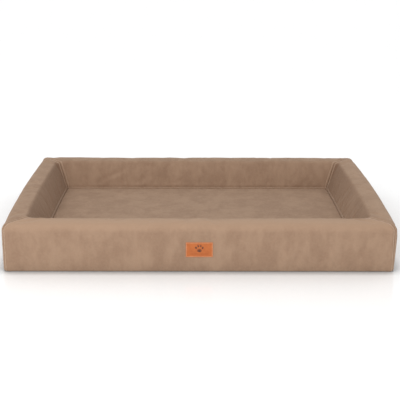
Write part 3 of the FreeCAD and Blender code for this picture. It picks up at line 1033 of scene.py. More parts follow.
def rounded_loop(half_w, half_h, corner, step=0.25 * MM):
    """Places round a rounded rectangle, closed."""
    bends = [(half_w - corner, half_h - corner, 0), (corner - half_w, half_h - corner, 90),
             (corner - half_w, corner - half_h, 180), (half_w - corner, corner - half_h, 270)]
    loop = np.concatenate([arc((x, y), corner, a, a + 90, 12) for x, y, a in bends])
    loop = np.concatenate([loop, loop[:1]])
    length = np.concatenate([[0], np.cumsum(np.linalg.norm(np.diff(loop, axis=0), axis=1))])
    even = np.arange(0, length[-1] + step / 2, step)
    return np.interp(even, length, loop[:, 0]), np.interp(even, length, loop[:, 1])


lx, lz = rounded_loop(patch_half_w - PATCH_ROW, patch_half_h - PATCH_ROW, PATCH_CORNER / 2)
row_points, row_normals = on_front(lx, patch_level + lz)
row_points = row_points + patch_height(np.full(lx.shape, PATCH_ROW))[:, None] * row_normals
patch_thread = new_piece(
    "patch_thread", *stitch_row(row_points, row_normals, PATCH_THREAD, PATCH_PITCH), slot="label_thread",
    replaces=["label_stitching"],
)
zx, zz = rounded_loop(slot_end + ZIP_ROW, slot_half + ZIP_ROW, 1.2 * MM)
zip_points, zip_normals = panels["back"].at(zx, r_at_height(zip_level + zz))
zip_thread = new_piece(
    "zip_thread", *stitch_row(zip_points, zip_normals, ZIP_THREAD, PITCH), slot="topstitch_thread",
    replaces=["zip_stitching"],
)
print("patch and zip:", len(patch_thread.data.polygons) + len(zip_thread.data.polygons), "faces of thread")

# %% [markdown]
# ## The zip
#
# The cover comes off for washing through a long zip at the back. A coil zip has two woven tapes, and along
# each tape's edge a nylon wire wound into a flattened spiral, whose loops hook between those of the other
# one. The spirals are real helixes here, half a turn out of step. The slider's post passes between them, so
# they stand a fraction of a millimetre apart in the middle.

# %% Weave the tapes
TAPE_EDGE = 0.12 * MM  # the tape is a little thicker at its edges
TAPE_ROOM = 0.1 * MM  # how much thinner it is than in the frame elsewhere
for side, name in ((1, "upper"), (-1, "lower")):
    tape_low, tape_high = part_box(f"{name}_zip_tape")
    tx = np.arange(tape_low.x, tape_high.x + 3 * MM, 6 * MM)[:, None]
    tz = np.linspace(tape_low.z, tape_high.z, 16)[None, :]
    tx, tz = np.broadcast_arrays(np.clip(tx, tape_low.x, tape_high.x), tz)
    share = (tz - tape_low.z) / (tape_high.z - tape_low.z)
    beads = TAPE_EDGE * (bell(share, 0.04, 0.05) + bell(share, 0.96, 0.05))
    ripple = 0.08 * MM * hills(np.stack([tx, tz, 0 * tx], axis=-1), 30 * MM, 41)
    ty = tape_high.y - TAPE_ROOM + 0.5 * beads + ripple * ease(np.abs(share - 0.5) * -2 + 1)
    tape = new_piece(
        f"{name}_zip_tape_cloth", np.stack([tx, ty, tz], axis=-1), quads(*tx.shape)[:, ::-1], slot="zip_tape",
        replaces=[f"{name}_zip_tape"],
    )
    thicken(tape, tape_high.y - tape_low.y - TAPE_ROOM)

# %% Wind the coils
COIL_PITCH = 1.4 * MM
COIL_WIRE = 0.3 * MM  # radius
COIL_TURN_POINTS = 12
COIL_WIRE_SIDES = 6
COIL_HALF_GAP = 0.4 * MM


def coil(name, side, shift):
    """One zip coil: a wire wound flat round the edge of its tape."""
    low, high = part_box(name)
    near = COIL_HALF_GAP + COIL_WIRE
    far = max(high.z - zip_level, zip_level - low.z) - COIL_WIRE
    turns = int((high.x - low.x - 2 * COIL_WIRE) / COIL_PITCH - 0.5)
    phase = np.linspace(0, 2 * math.pi * turns, turns * COIL_TURN_POINTS + 1)
    width, middle = (far - near) / 2, (far + near) / 2
    depth = (high.y - low.y) / 2 - COIL_WIRE
    x = low.x + COIL_WIRE + (phase / (2 * math.pi) + shift) * COIL_PITCH
    z = zip_level + side * (middle + width * np.sign(np.cos(phase)) * np.abs(np.cos(phase)) ** 0.7)
    y = (low.y + high.y) / 2 + depth * np.sign(np.sin(phase)) * np.abs(np.sin(phase)) ** 0.8
    line = np.stack([x, y, z], axis=1)
    travel = np.gradient(line, axis=0)
    travel /= np.linalg.norm(travel, axis=1, keepdims=True)
    first = np.cross(travel, (1, 0, 0))
    first /= np.linalg.norm(first, axis=1, keepdims=True)
    second = np.cross(travel, first)
    angles = np.linspace(0, 2 * math.pi, COIL_WIRE_SIDES, endpoint=False)
    ring = np.cos(angles)[:, None] * first[:, None] + np.sin(angles)[:, None] * second[:, None]
    points = line[:, None] + COIL_WIRE * ring
    faces = tube_faces(len(points), COIL_WIRE_SIDES)
    piece = new_piece(f"{name}_wire", points, faces, slot="zip_coil", replaces=[name])
    print(name, "has", turns, "turns")
    return piece


coils = [coil("upper_zip_coil", 1, 0.0), coil("lower_zip_coil", -1, 0.5)]

# %% [markdown]
# ## Small metal parts
#
# The stops, the slider and its pull tab are cast or pressed metal. A plate of any outline, drawn up to a
# thickness with its edges rounded, is the shape that all of them are built from. The slider is a shield
# with two shoulders at its leading end, where the open coils enter, and a bridge over it holds the pull
# tab's pin.


# %% Cut and round a plate
def prism(bm, points, way, rounding, segments, sharp_over=50):
    """A flat outline in space drawn up along a way, with the edges over that many degrees rounded."""
    loop = [bm.verts.new(point) for point in points]
    face = bm.faces.new(loop)
    grown = bmesh.ops.extrude_face_region(bm, geom=[face])
    moved = [v for v in grown["geom"] if isinstance(v, bmesh.types.BMVert)]
    bmesh.ops.translate(bm, verts=moved, vec=way)
    faces = {f for v in [*loop, *moved] for f in v.link_faces}
    bmesh.ops.recalc_face_normals(bm, faces=list(faces))
    edges = {e for f in faces for e in f.edges}
    sharp = [e for e in edges if e.calc_face_angle(0) > math.radians(sharp_over)]
    bmesh.ops.bevel(bm, geom=sharp, offset=rounding, segments=segments, affect="EDGES", clamp_overlap=True)


def plate_mesh(bm, outline, back, front, rounding=0.15 * MM, segments=2):
    """A plate in the x-z plane with this outline, from back to front in y."""
    prism(bm, [(x, back, z) for x, z in outline], (0, front - back, 0), rounding, segments)


def rounded_outline(points, radius, steps=5):
    """An outline with its corners rounded, from its corner points in order."""
    made = []
    count = len(points)
    for k in range(count):
        before, here, after = (Vector(points[(k + d) % count]) for d in (-1, 0, 1))
        to_before, to_after = before - here, after - here
        cut = min(radius, 0.45 * to_before.length, 0.45 * to_after.length)
        start, end = here + to_before.normalized() * cut, here + to_after.normalized() * cut
        for t in np.linspace(0, 1, steps):
            made.append(((1 - t) ** 2 * start + 2 * t * (1 - t) * here + t * t * end)[:])
    return made


def metal_piece(name, bm, body, replaces):
    """The finished piece of metal."""
    mesh = bpy.data.meshes.new(name)
    bm.normal_update()
    bm.to_mesh(mesh)
    bm.free()
    mesh.polygons.foreach_set("use_smooth", [True] * len(mesh.polygons))
    piece = bpy.data.objects.new(name, mesh)
    bpy.context.scene.collection.objects.link(piece)
    shading = piece.modifiers.new("shading", "WEIGHTED_NORMAL")
    shading.keep_sharp = True
    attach(piece, body)
    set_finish(piece, "zip_metal")
    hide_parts(replaces)
    print(name, "has", len(mesh.polygons), "faces")


# %% Crimp the stops
def crimp(bm, x, low_z, high_z, low, high):
    """A stop folded round the coils: a waisted band with two pressed dents."""
    half = (high.x - low.x) / 2 if high.x - low.x < 5 * MM else 2 * MM
    waist = 0.82 * half
    middle_z = (low_z + high_z) / 2
    outline = rounded_outline([
        (x - half, low_z), (x, low_z + 0.1 * MM), (x + half, low_z), (x + waist, middle_z),
        (x + half, high_z), (x, high_z - 0.1 * MM), (x - half, high_z), (x - waist, middle_z),
    ], 0.5 * MM)
    plate_mesh(bm, outline, low.y + 0.05 * MM, high.y - 0.25 * MM, 0.22 * MM, 3)
    ridge = rounded_outline([
        (x - 0.35 * half, low_z + 0.35 * MM), (x + 0.35 * half, low_z + 0.35 * MM),
        (x + 0.35 * half, high_z - 0.35 * MM), (x - 0.35 * half, high_z - 0.35 * MM),
    ], 0.3 * MM)
    plate_mesh(bm, ridge, high.y - 0.3 * MM, high.y, 0.1 * MM, 2)


top_low, top_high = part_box("zip_top_stops")
bottom_low, bottom_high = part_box("zip_bottom_stop")
top_x, bottom_x = (top_low.x + top_high.x) / 2, (bottom_low.x + bottom_high.x) / 2
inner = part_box("upper_zip_coil")[0].z - zip_level
outer = top_high.z - zip_level
bm = bmesh.new()
crimp(bm, top_x, zip_level + inner, zip_level + outer, top_low, top_high)
crimp(bm, top_x, zip_level - outer, zip_level - inner, top_low, top_high)
metal_piece("zip_top_crimps", bm, "bed", "zip_top_stops")
bm = bmesh.new()
crimp(bm, bottom_x, bottom_low.z, bottom_high.z, bottom_low, bottom_high)
metal_piece("zip_bottom_crimp", bm, "bed", "zip_bottom_stop")

# %% Cast the slider
PLATE = 1.1 * MM
FLANGE = 1.0 * MM
FLANGE_PLAY = 0.5 * MM
POST_HALF = 0.3 * MM
POST_LENGTH = 2.6 * MM
BRIDGE_HALF_WIDTH = 1.0 * MM
BRIDGE_HALF = 4.1 * MM
BRIDGE_BAND = 1.0 * MM
BRIDGE_SHAPE = 0.45  # under 1 makes the arch squarer

tape_low, tape_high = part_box("upper_zip_tape")
coil_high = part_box("upper_zip_coil")[1]
pull_low, pull_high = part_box("zip_pull_tab")
slider_x = (slider_low.x + slider_high.x) / 2
half_long, half_wide = (slider_high.x - slider_low.x) / 2, (slider_high.z - slider_low.z) / 2
top_plate_back = pull_low.y - 0.3 * MM - PLATE


def shield(shoulder):
    """The slider's outline: shoulders with a notch between them at the leading end, and a tail."""
    along = [(1.0, 0.30), (0.86, 0.0), (1.0, -0.30), (0.93, -0.82), (0.45, -1.0), (-0.55, -0.88),
             (-0.95, -0.66), (-1.0, 0.0), (-0.95, 0.66), (-0.55, 0.88), (0.45, 1.0), (0.93, 0.82)]
    return rounded_outline([(slider_x + a * half_long, zip_level + b * shoulder) for a, b in along], 1.2 * MM)


bm = bmesh.new()
plate_mesh(bm, shield(half_wide), slider_low.y, slider_low.y + PLATE, 0.25 * MM, 3)
plate_mesh(bm, shield(half_wide), top_plate_back, top_plate_back + PLATE, 0.3 * MM, 3)
flange_ends = (tape_high.y + FLANGE_PLAY, top_plate_back + 0.2 * MM)
for side in (1, -1):
    near, far = half_wide * 0.98 - FLANGE, half_wide * 0.98
    flange = [(0.8, near), (0.8, far * 0.97), (0.4, far), (-0.5, far * 0.9), (-0.9, far * 0.72),
              (-0.9, far * 0.72 - 0.35 * MM), (-0.5, near * 0.985), (0.4, near)]
    outline = [(slider_x + a * half_long, zip_level + side * b) for a, b in flange]
    clear = max(0.0, coil_high.z - zip_level + 0.12 * MM)
    outline = [(x, zip_level + side * max(side * (z - zip_level), clear)) for x, z in outline]
    plate_mesh(bm, rounded_outline(outline, 0.3 * MM), *flange_ends, 0.1 * MM)
post_x = slider_x + 0.84 * half_long
post = [(post_x - POST_LENGTH, zip_level), (post_x, zip_level - POST_HALF), (post_x, zip_level + POST_HALF)]
post_ends = (slider_low.y + 0.5 * PLATE, top_plate_back + 0.3 * MM)
plate_mesh(bm, rounded_outline(post, 0.1 * MM, 3), *post_ends, 0.05 * MM, 1)

# The bridge is a flat band bent over the pull tab's pin.
bridge_foot = top_plate_back + 0.6 * PLATE
bridge_rise = slider_high.y - bridge_foot
bend = np.linspace(0, math.pi, 25)
ring_points = []
for inset in (0, BRIDGE_BAND):
    run = (BRIDGE_HALF - inset) * np.sign(np.cos(bend)) * np.abs(np.cos(bend)) ** BRIDGE_SHAPE
    rise = (bridge_rise - inset) * np.sin(bend) ** BRIDGE_SHAPE
    ring_points.append([(slider_x + a, bridge_foot + b) for a, b in zip(run, rise)])
band = ring_points[0] + ring_points[1][::-1]
band = [(x, y, zip_level - BRIDGE_HALF_WIDTH) for x, y in band]
prism(bm, band, (0, 0, 2 * BRIDGE_HALF_WIDTH), 0.22 * MM, 2, sharp_over=60)
metal_piece("zip_slider_casting", bm, "slider", "zip_slider")

# %% Press the pull tab
TAB_ROUND = 2.4 * MM
HOLE_RADIUS = 2.2 * MM
HOLE_MARGIN = 6 * MM
ARM_INNER = 1.5 * MM
PIN_RADIUS = 0.62 * MM
PIN_HALF = 3.5 * MM
PIN_SIDES = 14

pin_y = (pull_low.y + pull_high.y) / 2
pin_x = pull_high.x - 0.7 * MM
tab_half = (pull_high.z - pull_low.z) / 2


def curve_plate(name, loops, thickness, rounding):
    """A flat plate with holes and rounded edges, from closed outlines in the x-z plane."""
    curve = bpy.data.curves.new(name, "CURVE")
    curve.dimensions = "2D"
    curve.fill_mode = "BOTH"
    curve.extrude = thickness / 2 - rounding
    curve.bevel_depth = rounding
    curve.bevel_resolution = 3
    curve.offset = -rounding
    for loop in loops:
        spline = curve.splines.new("POLY")
        spline.points.add(len(loop) - 1)
        for point, (x, z) in zip(spline.points, loop):
            point.co = (x, z, 0, 1)
        spline.use_cyclic_u = True
    maker = bpy.data.objects.new(name, curve)
    mesh = bpy.data.meshes.new_from_object(maker)
    bpy.data.objects.remove(maker)
    return mesh


outline = rounded_outline([
    (pull_low.x, zip_level - tab_half), (pin_x - 9.5 * MM, zip_level - tab_half),
    (pin_x - 7.6 * MM, zip_level - 3.6 * MM), (pin_x + 0.6 * MM, zip_level - 3.6 * MM),
    (pin_x + 0.6 * MM, zip_level - ARM_INNER), (pin_x - 6.4 * MM, zip_level - ARM_INNER),
    (pin_x - 6.4 * MM, zip_level + ARM_INNER), (pin_x + 0.6 * MM, zip_level + ARM_INNER),
    (pin_x + 0.6 * MM, zip_level + 3.6 * MM), (pin_x - 7.6 * MM, zip_level + 3.6 * MM),
    (pin_x - 9.5 * MM, zip_level + tab_half), (pull_low.x, zip_level + tab_half),
], TAB_ROUND, 7)
around = np.linspace(0, 2 * math.pi, 32, endpoint=False)[::-1]
hole_x = pull_low.x + HOLE_MARGIN
hole = [(hole_x + HOLE_RADIUS * math.cos(a), zip_level + HOLE_RADIUS * math.sin(a)) for a in around]
tab_mesh = curve_plate("tab", [outline, hole], pull_high.y - pull_low.y, 0.22 * MM)
bm = bmesh.new()
bm.from_mesh(tab_mesh)
bmesh.ops.remove_doubles(bm, verts=bm.verts, dist=0.01 * MM)
for v in bm.verts:
    v.co = Vector((v.co.x, pin_y - v.co.z, v.co.y))
ends = []
for z in (-PIN_HALF, PIN_HALF):
    turns = np.linspace(0, 2 * math.pi, PIN_SIDES, endpoint=False)
    ring = np.stack([pin_x + PIN_RADIUS * np.cos(turns), pin_y + PIN_RADIUS * np.sin(turns)], axis=1)
    ends.append([bm.verts.new((x, y, zip_level + z)) for x, y in ring])
for k in range(PIN_SIDES):
    bm.faces.new([ends[0][k], ends[0][(k + 1) % PIN_SIDES], ends[1][(k + 1) % PIN_SIDES], ends[1][k]])
bm.faces.new(ends[0][::-1])
bm.faces.new(ends[1])
bmesh.ops.recalc_face_normals(bm, faces=bm.faces)
metal_piece("zip_pull", bm, "pull", "zip_pull_tab")

# %% [markdown]
# ## The filling
#
# Five pieces of foam fill the cover: a bar in each wall, mitred at its ends, and a slab under the lying
# floor. They show only when the cover comes off. A bar is the wall's own section, sunk a little below the
# cover and closed underneath, and foam is cut with a hot wire, so its faces are nearly flat and its edges
# soft. It gives way wherever the cover presses in.

# %% Cut the foam bars
FOAM_SINK = 3 * MM
FOAM_BASE = 3 * MM
FOAM_STEP = 14 * MM
GROOVE = 1.8 * MM  # how far the zip presses in
GROOVE_HALF = 14 * MM
GROOVE_FADE = 6 * MM


def foam_bar(name):
    """A bar of foam inside one wall."""
    wall = walls[name]
    c = np.concatenate([[-wall.reach], spaced(-wall.reach, wall.reach, FOAM_STEP), [wall.reach]])[:, None]
    r = np.linspace(r_at_height(FOAM_BASE + 1 * MM), section_length - TUCK - 4 * MM, 64)[None, :]
    points, normals = wall.surface(c, r, sink=FOAM_SINK)
    dent = ((panels[name].at(c, r)[0] - wall.surface(c, r)[0]) * normals).sum(axis=-1)
    points = points + np.minimum(dent, 0)[..., None] * normals
    if name == "back":
        off = np.abs(section(r)[1] - zip_level) + 0 * c
        pressed = (1 - ease((off - GROOVE_HALF) / GROOVE_FADE)) * (r < face_end)
        points = points - GROOVE * pressed[..., None] * normals
    points = points + 0.3 * MM * hills(points, 60 * MM, 51)[..., None] * normals
    points[..., 2] = np.maximum(points[..., 2], FOAM_BASE)
    below = points[:, -1:].copy()
    below[..., 2] = FOAM_BASE
    middle = (below + points[:, :1]) / 2
    loop = np.concatenate([points, (points[:, -1:] + below) / 2, below, middle], axis=1)
    return loop, tube_faces(*loop.shape[:2])


foams = []
for name in walls:
    foam = new_piece(
        f"{name}_bolster_foam", *foam_bar(name), slot="foam", replaces=[f"foam_{name}_bolster"]
    )
    foams.append(foam)
    print(name, "foam bar:", len(foam.data.polygons), "faces")

# %% Cut the foam slab
slab_low, slab_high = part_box("base_foam")
sx, sy, slab_edge = rounded_sheet(
    floor_half_x - 5 * MM, floor_half_y - 5 * MM, WELL_CORNER, 16 * MM, [0, 0.001, 0.002, 0.0035, 0.006, 0.01]
)
slab_top = slab_high.z - 1 * MM + 0.8 * FLOOR_CROWN * (1 - np.exp(-slab_edge / CROWN_RUN))
slab_top = slab_top - 1.5 * MM * np.exp(-slab_edge / (1.5 * MM))
slab = new_piece(
    "floor_foam", np.stack([*bowed(sx, sy), slab_top], axis=-1), quads(*sx.shape), slot="foam",
    replaces=["base_foam"],
)
thicken(slab, slab_high.z - slab_low.z - 3 * MM)
foams.append(slab)
print("the slab is", round((slab_high.z - slab_low.z) / MM), "mm thick")

# %% [markdown]
# ## How large each cover panel is cut
#
# Each cover panel was cut flat before it was sewn. Its flat area is the section's length times the
# outline's length at each place over it. The patch and the base are flat sheets as well.

for name, panel in panels.items():
    u = section(fine_r)[0]
    print(name, "cover is cut", [round(side / MM) for side in (section_length, 2 * panel.wall.reach)], "mm")

# %% [markdown]
# ## Building blocks for the finishes
#
# A finish is a small network of nodes. Two helpers keep the networks short: one puts a node in and wires it
# up, and one starts a node group with named inputs and outputs. Each effect that several materials use,
# such as mottling, grain, weave or worn edges, is such a group, built once.


# %% Wire nodes
def put(tree, kind, wires=None, **settings):
    """Adds a node. Wires gives each input, by name or number, a value or another node's output."""
    made = tree.nodes.new("ShaderNode" + kind)
    for name, value in settings.items():
        setattr(made, name, value)
    for name, value in (wires or {}).items():
        if isinstance(value, bpy.types.NodeSocket):
            tree.links.new(value, made.inputs[name])
        else:
            made.inputs[name].default_value = value
    return made


def sums(tree, operation, *values):
    """A Math node on values or outputs, and its output."""
    return put(tree, "Math", dict(enumerate(values)), operation=operation).outputs[0]


def ranged(tree, value, low, high, to_low=0.0, to_high=1.0):
    """A value moved from one range to another, and held inside it."""
    wires = {"Value": value, "From Min": low, "From Max": high, "To Min": to_low, "To Max": to_high}
    return put(tree, "MapRange", wires, interpolation_type="SMOOTHSTEP").outputs[0]


def blend_colours(tree, share, first, second):
    """A mix of two colours, and its output."""
    made = put(tree, "Mix", data_type="RGBA")
    for socket, value in ((made.inputs[0], share), (made.inputs[6], first), (made.inputs[7], second)):
        if isinstance(value, bpy.types.NodeSocket):
            tree.links.new(value, socket)
        else:
            socket.default_value = value if isinstance(value, float) else (*value[:3], 1.0)
    return made.outputs[2]


def new_group(name, inputs, outputs):
    """A shader node group with named sockets."""
    tree = bpy.data.node_groups.new(name, "ShaderNodeTree")
    for socket, kind, value in inputs:
        made = tree.interface.new_socket(socket, in_out="INPUT", socket_type="NodeSocket" + kind)
        if value is not None:
            made.default_value = value
    for socket, kind in outputs:
        tree.interface.new_socket(socket, in_out="OUTPUT", socket_type="NodeSocket" + kind)
    return tree, tree.nodes.new("NodeGroupInput").outputs, tree.nodes.new("NodeGroupOutput").inputs


def use(tree, group, **wires):
    """Places a group in a material, and gives its outputs."""
    made = tree.nodes.new("ShaderNodeGroup")
    made.node_tree = group
    for name, value in wires.items():
        if isinstance(value, bpy.types.NodeSocket):
            tree.links.new(value, made.inputs[name])
        else:
            made.inputs[name].default_value = value
    return made.outputs


def stored(tree, name):
    """A value that the mesh stores at each point, such as how near a seam it is."""
    return put(tree, "Attribute", attribute_name=name).outputs["Fac"]


print("node helpers are ready")

# %% [markdown]
# ### Mottling
#
# No dyed material is one even colour. Two scales of noise, added together, give patches that are a little
# lighter or darker. The result runs from 0 to 1 and sits mostly near a half.

# %% Build the mottling group
mottling, given, gives = new_group(
    "mottling", [("Vector", "Vector", None), ("Size", "Float", 0.05), ("Contrast", "Float", 1.0)],
    [("Value", "Float")],
)
scale = sums(mottling, "DIVIDE", 1.0, given["Size"])
broad = put(mottling, "TexNoise",
            {"Vector": given["Vector"], "Scale": scale, "Detail": 2.0, "Roughness": 0.55})
close_scale = sums(mottling, "MULTIPLY", scale, 3.7)
close = put(mottling, "TexNoise", {"Vector": given["Vector"], "Scale": close_scale, "Detail": 2.0})
both = sums(mottling, "ADD", sums(mottling, "MULTIPLY", broad.outputs[0], 0.7),
            sums(mottling, "MULTIPLY", close.outputs[0], 0.3))
centred = sums(mottling, "SUBTRACT", both, 0.5)
stretched = sums(mottling, "MULTIPLY_ADD", centred, given["Contrast"], 0.5)
mottling.links.new(sums(mottling, "MINIMUM", sums(mottling, "MAXIMUM", stretched, 0.0), 1.0), gives["Value"])


def mottled(tree, place, size, contrast):
    """Mottling in patches of about that size, in metres."""
    return use(tree, mottling, Vector=place, Size=size, Contrast=contrast)["Value"]


print("mottling:", len(mottling.nodes), "nodes")

# %% [markdown]
# ### Grain
#
# Leather grain is a net of fine creases round small rounded cells. A Voronoi texture gives the cells, noise
# bends their edges, and a finer noise roughens their tops like a short nap.

# %% Build the grain group
grain, given, gives = new_group(
    "leather_grain", [("Vector", "Vector", None), ("Cell", "Float", 0.0015), ("Nap", "Float", 0.5)],
    [("Height", "Float"), ("Crease", "Float")],
)
scale = sums(grain, "DIVIDE", 1.0, given["Cell"])
bend_scale = sums(grain, "MULTIPLY", scale, 0.8)
bend = put(grain, "TexNoise", {"Vector": given["Vector"], "Scale": bend_scale, "Detail": 1.0})
push = put(grain, "VectorMath", {0: bend.outputs[1], 1: (0.5, 0.5, 0.5)}, operation="SUBTRACT")
amount = put(grain, "VectorMath", {0: push.outputs[0], "Scale": sums(grain, "MULTIPLY", given["Cell"], 1.2)},
             operation="SCALE")
bent = put(grain, "VectorMath", {0: given["Vector"], 1: amount.outputs[0]}, operation="ADD")
cells = put(grain, "TexVoronoi", {"Vector": bent.outputs[0], "Scale": scale}, feature="DISTANCE_TO_EDGE")
tops = ranged(grain, cells.outputs["Distance"], 0.0, 0.22)
fibres = put(grain, "TexNoise", {"Vector": given["Vector"], "Scale": sums(grain, "MULTIPLY", scale, 3.0),
                                 "Detail": 3.0, "Roughness": 0.7})
height = sums(grain, "MULTIPLY_ADD", sums(grain, "SUBTRACT", fibres.outputs[0], 0.5), given["Nap"], tops)
grain.links.new(height, gives["Height"])
grain.links.new(sums(grain, "SUBTRACT", 1.0, tops), gives["Crease"])
print("grain:", len(grain.nodes), "nodes")

# %% [markdown]
# ### Weave
#
# In a plain weave each thread goes over one crossing thread and under the next. Seen from above, that is a
# chequerboard of small rounded humps, which run one way on the black squares and the other way on the
# white.

# %% Build the weave group
weave, given, gives = new_group(
    "plain_weave", [("Across", "Float", 0.0), ("Along", "Float", 0.0), ("Thread", "Float", 0.0008)],
    [("Height", "Float"), ("Over", "Float")],
)
u = sums(weave, "DIVIDE", given["Across"], given["Thread"])
v = sums(weave, "DIVIDE", given["Along"], given["Thread"])
hump_u = sums(weave, "ABSOLUTE", sums(weave, "SINE", sums(weave, "MULTIPLY", u, math.pi)))
hump_v = sums(weave, "ABSOLUTE", sums(weave, "SINE", sums(weave, "MULTIPLY", v, math.pi)))
square = sums(weave, "ADD", sums(weave, "FLOOR", u), sums(weave, "FLOOR", v))
over = sums(weave, "ABSOLUTE", sums(weave, "FLOORED_MODULO", square, 2.0))
first_way = sums(weave, "MULTIPLY", hump_u, sums(weave, "MULTIPLY_ADD", hump_v, 0.4, 0.6))
second_way = sums(weave, "MULTIPLY", hump_v, sums(weave, "MULTIPLY_ADD", hump_u, 0.4, 0.6))
difference = sums(weave, "SUBTRACT", first_way, second_way)
weave.links.new(sums(weave, "MULTIPLY_ADD", difference, over, second_way), gives["Height"])
weave.links.new(over, gives["Over"])
print("weave:", len(weave.nodes), "nodes")

# %% [markdown]
# ### Worn edges
#
# Handling rubs the lacquer off metal and polishes leather where an edge stands out. Pointiness tells how
# sharply a surface turns, and noise breaks the worn line up.

# %% Build the worn-edge group
worn_edge, given, gives = new_group(
    "worn_edge", [("Vector", "Vector", None), ("Patch", "Float", 0.001), ("Amount", "Float", 0.5)],
    [("Mask", "Float")],
)
turned = put(worn_edge, "NewGeometry").outputs["Pointiness"]
sharp = ranged(worn_edge, turned, 0.50, 0.56)
patch_scale = sums(worn_edge, "DIVIDE", 1.0, given["Patch"])
broken = put(worn_edge, "TexNoise", {"Vector": given["Vector"], "Scale": patch_scale, "Detail": 3.0})
kept = ranged(worn_edge, broken.outputs[0], 0.35, 0.65)
worn_edge.links.new(sums(worn_edge, "MULTIPLY", sums(worn_edge, "MULTIPLY", sharp, kept), given["Amount"]),
                    gives["Mask"])
print("worn edge:", len(worn_edge.nodes), "nodes")


# %% Start a material
def start_material(name, roughness=0.6, **sockets):
    """A new material with its Principled BSDF, plain sockets set, and its own coordinates."""
    made = bpy.data.materials.new(name)
    made.use_nodes = True
    tree = made.node_tree
    shader = tree.nodes["Principled BSDF"]
    shader.inputs["Roughness"].default_value = roughness
    for socket, value in sockets.items():
        shader.inputs[socket.replace("_", " ")].default_value = value
    return made, tree, shader, put(tree, "TexCoord").outputs["Object"]


def bump(tree, shader, height, depth, strength=1.0):
    """Wires a height into the shader's normal. Depth is in metres."""
    made = put(tree, "Bump", {"Height": height, "Distance": depth, "Strength": strength})
    tree.links.new(made.outputs[0], shader.inputs["Normal"])


def coat(tree, shader, colour, roughness):
    """Wires a colour and a roughness into the shader."""
    tree.links.new(colour, shader.inputs["Base Color"])
    tree.links.new(roughness, shader.inputs["Roughness"])


def tones(colour, *shares):
    """The same colour, darker or lighter by each share."""
    return [tuple(part * share for part in colour) for share in shares]


def dress(pieces, material):
    """Gives pieces their only material."""
    for piece in pieces:
        piece.data.materials.clear()
        piece.data.materials.append(material)


print("materials start from one shader each")

# %% [markdown]
# ## Nubuck-like artificial leather
#
# The cover is matte and soft to the touch. Its short nap scatters light at grazing angles, which is what
# sheen does, and brushed patches of it look lighter or darker. The colour has broad patches a little taller
# than wide and finer ones inside them. Painted shade darkens the creases of the seams, and a painted
# highlight lightens the ridges beside them. Painted shade also darkens the inner faces of the rim, more
# towards the back on the short sides, and the foot of the outer face. A painted highlight lightens the top
# of the front.

# %% Finish the cover
LEATHER_DARK = (0.285, 0.178, 0.118)
LEATHER = (0.355, 0.227, 0.149)
LEATHER_LIGHT = (0.425, 0.285, 0.195)
# the colour of the painted highlight on the top
LEATHER_HIGHLIGHT = (0.460, 0.300, 0.200)
# the colour of the painted shade inside the rim and at its foot
SHADE_BROWN = (0.240, 0.146, 0.094)
# the colour of the painted shade in the seams' creases
CREASE_SHADE = (0.140, 0.080, 0.050)
GRAIN_CELL = 0.0009  # width of one cell of the grain, in metres

leather, tree, shader, place = start_material(
    "nubuck_cover", Sheen_Weight=0.22, Sheen_Roughness=0.5, Sheen_Tint=(1.0, 0.80, 0.63, 1.0),
    Specular_IOR_Level=0.16,
)
tall = put(tree, "Mapping", {"Vector": place, "Scale": (1.0, 1.0, 0.5)}).outputs[0]
broad = mottled(tree, tall, 0.055, 1.7)
small = mottled(tree, place, 0.007, 1.5)
skin = use(tree, grain, Vector=place, Cell=GRAIN_CELL, Nap=0.8)
seam = stored(tree, "seam")
colour = blend_colours(tree, ranged(tree, broad, 0.25, 0.75), LEATHER_DARK, LEATHER_LIGHT)
colour = blend_colours(tree, 0.5, colour, LEATHER)
colour = blend_colours(tree, ranged(tree, small, 0.3, 0.8, 0.0, 0.25), colour, LEATHER_LIGHT)
colour = blend_colours(tree, sums(tree, "MULTIPLY", skin["Crease"], 0.16), colour, LEATHER_DARK)
# a painted highlight along the ridges beside the seams
ridge_highlight = sums(tree, "MULTIPLY", ranged(tree, seam, 0.28, 0.5), ranged(tree, seam, 0.85, 0.6))
# painted shade inside the rim, more towards the back, and at the foot of the outer face
deep = stored(tree, "deep")
colour = blend_colours(tree, sums(tree, "MULTIPLY", deep, 0.62), colour, SHADE_BROWN)
# a painted highlight on the top of the front, and more faintly on the right
painted_highlight = stored(tree, "painted_highlight")
colour = blend_colours(tree, sums(tree, "MULTIPLY", painted_highlight, 0.95), colour, LEATHER_HIGHLIGHT)
colour = blend_colours(tree, sums(tree, "MULTIPLY", ridge_highlight, 0.8), colour, LEATHER_LIGHT)
# painted shade in the creases of the seams
colour = blend_colours(tree, ranged(tree, seam, 0.84, 1.0, 0.0, 0.6), colour, CREASE_SHADE)
coat(tree, shader, colour, ranged(tree, small, 0.2, 0.8, 0.92, 0.72))
bump(tree, shader, skin["Height"], 0.18 * MM, 0.6)
dress([*covers.values(), floor_piece], leather)
print("nubuck:", len(tree.nodes), "nodes")

# %% [markdown]
# ## Thread
#
# Polyester thread is a little lighter than the leather and has a soft lustre. Its plies are in the mesh, so
# the material adds only fine fibres and small changes of tone from stitch to stitch.


# %% Finish the thread
def thread_material(name, dark, light):
    made, tree, shader, place = start_material(
        name, Sheen_Weight=0.3, Sheen_Roughness=0.4, Specular_IOR_Level=0.35
    )
    tone = mottled(tree, place, 0.012, 2.0)
    fibres = put(tree, "TexNoise", {"Vector": place, "Scale": 6000.0, "Detail": 2.0}).outputs[0]
    colour = blend_colours(tree, ranged(tree, tone, 0.2, 0.8), dark, light)
    colour = blend_colours(tree, ranged(tree, fibres, 0.3, 0.7, 0.0, 0.35), colour, dark)
    coat(tree, shader, colour, ranged(tree, fibres, 0.2, 0.8, 0.5, 0.75))
    bump(tree, shader, fibres, 0.06 * MM, 0.7)
    return made


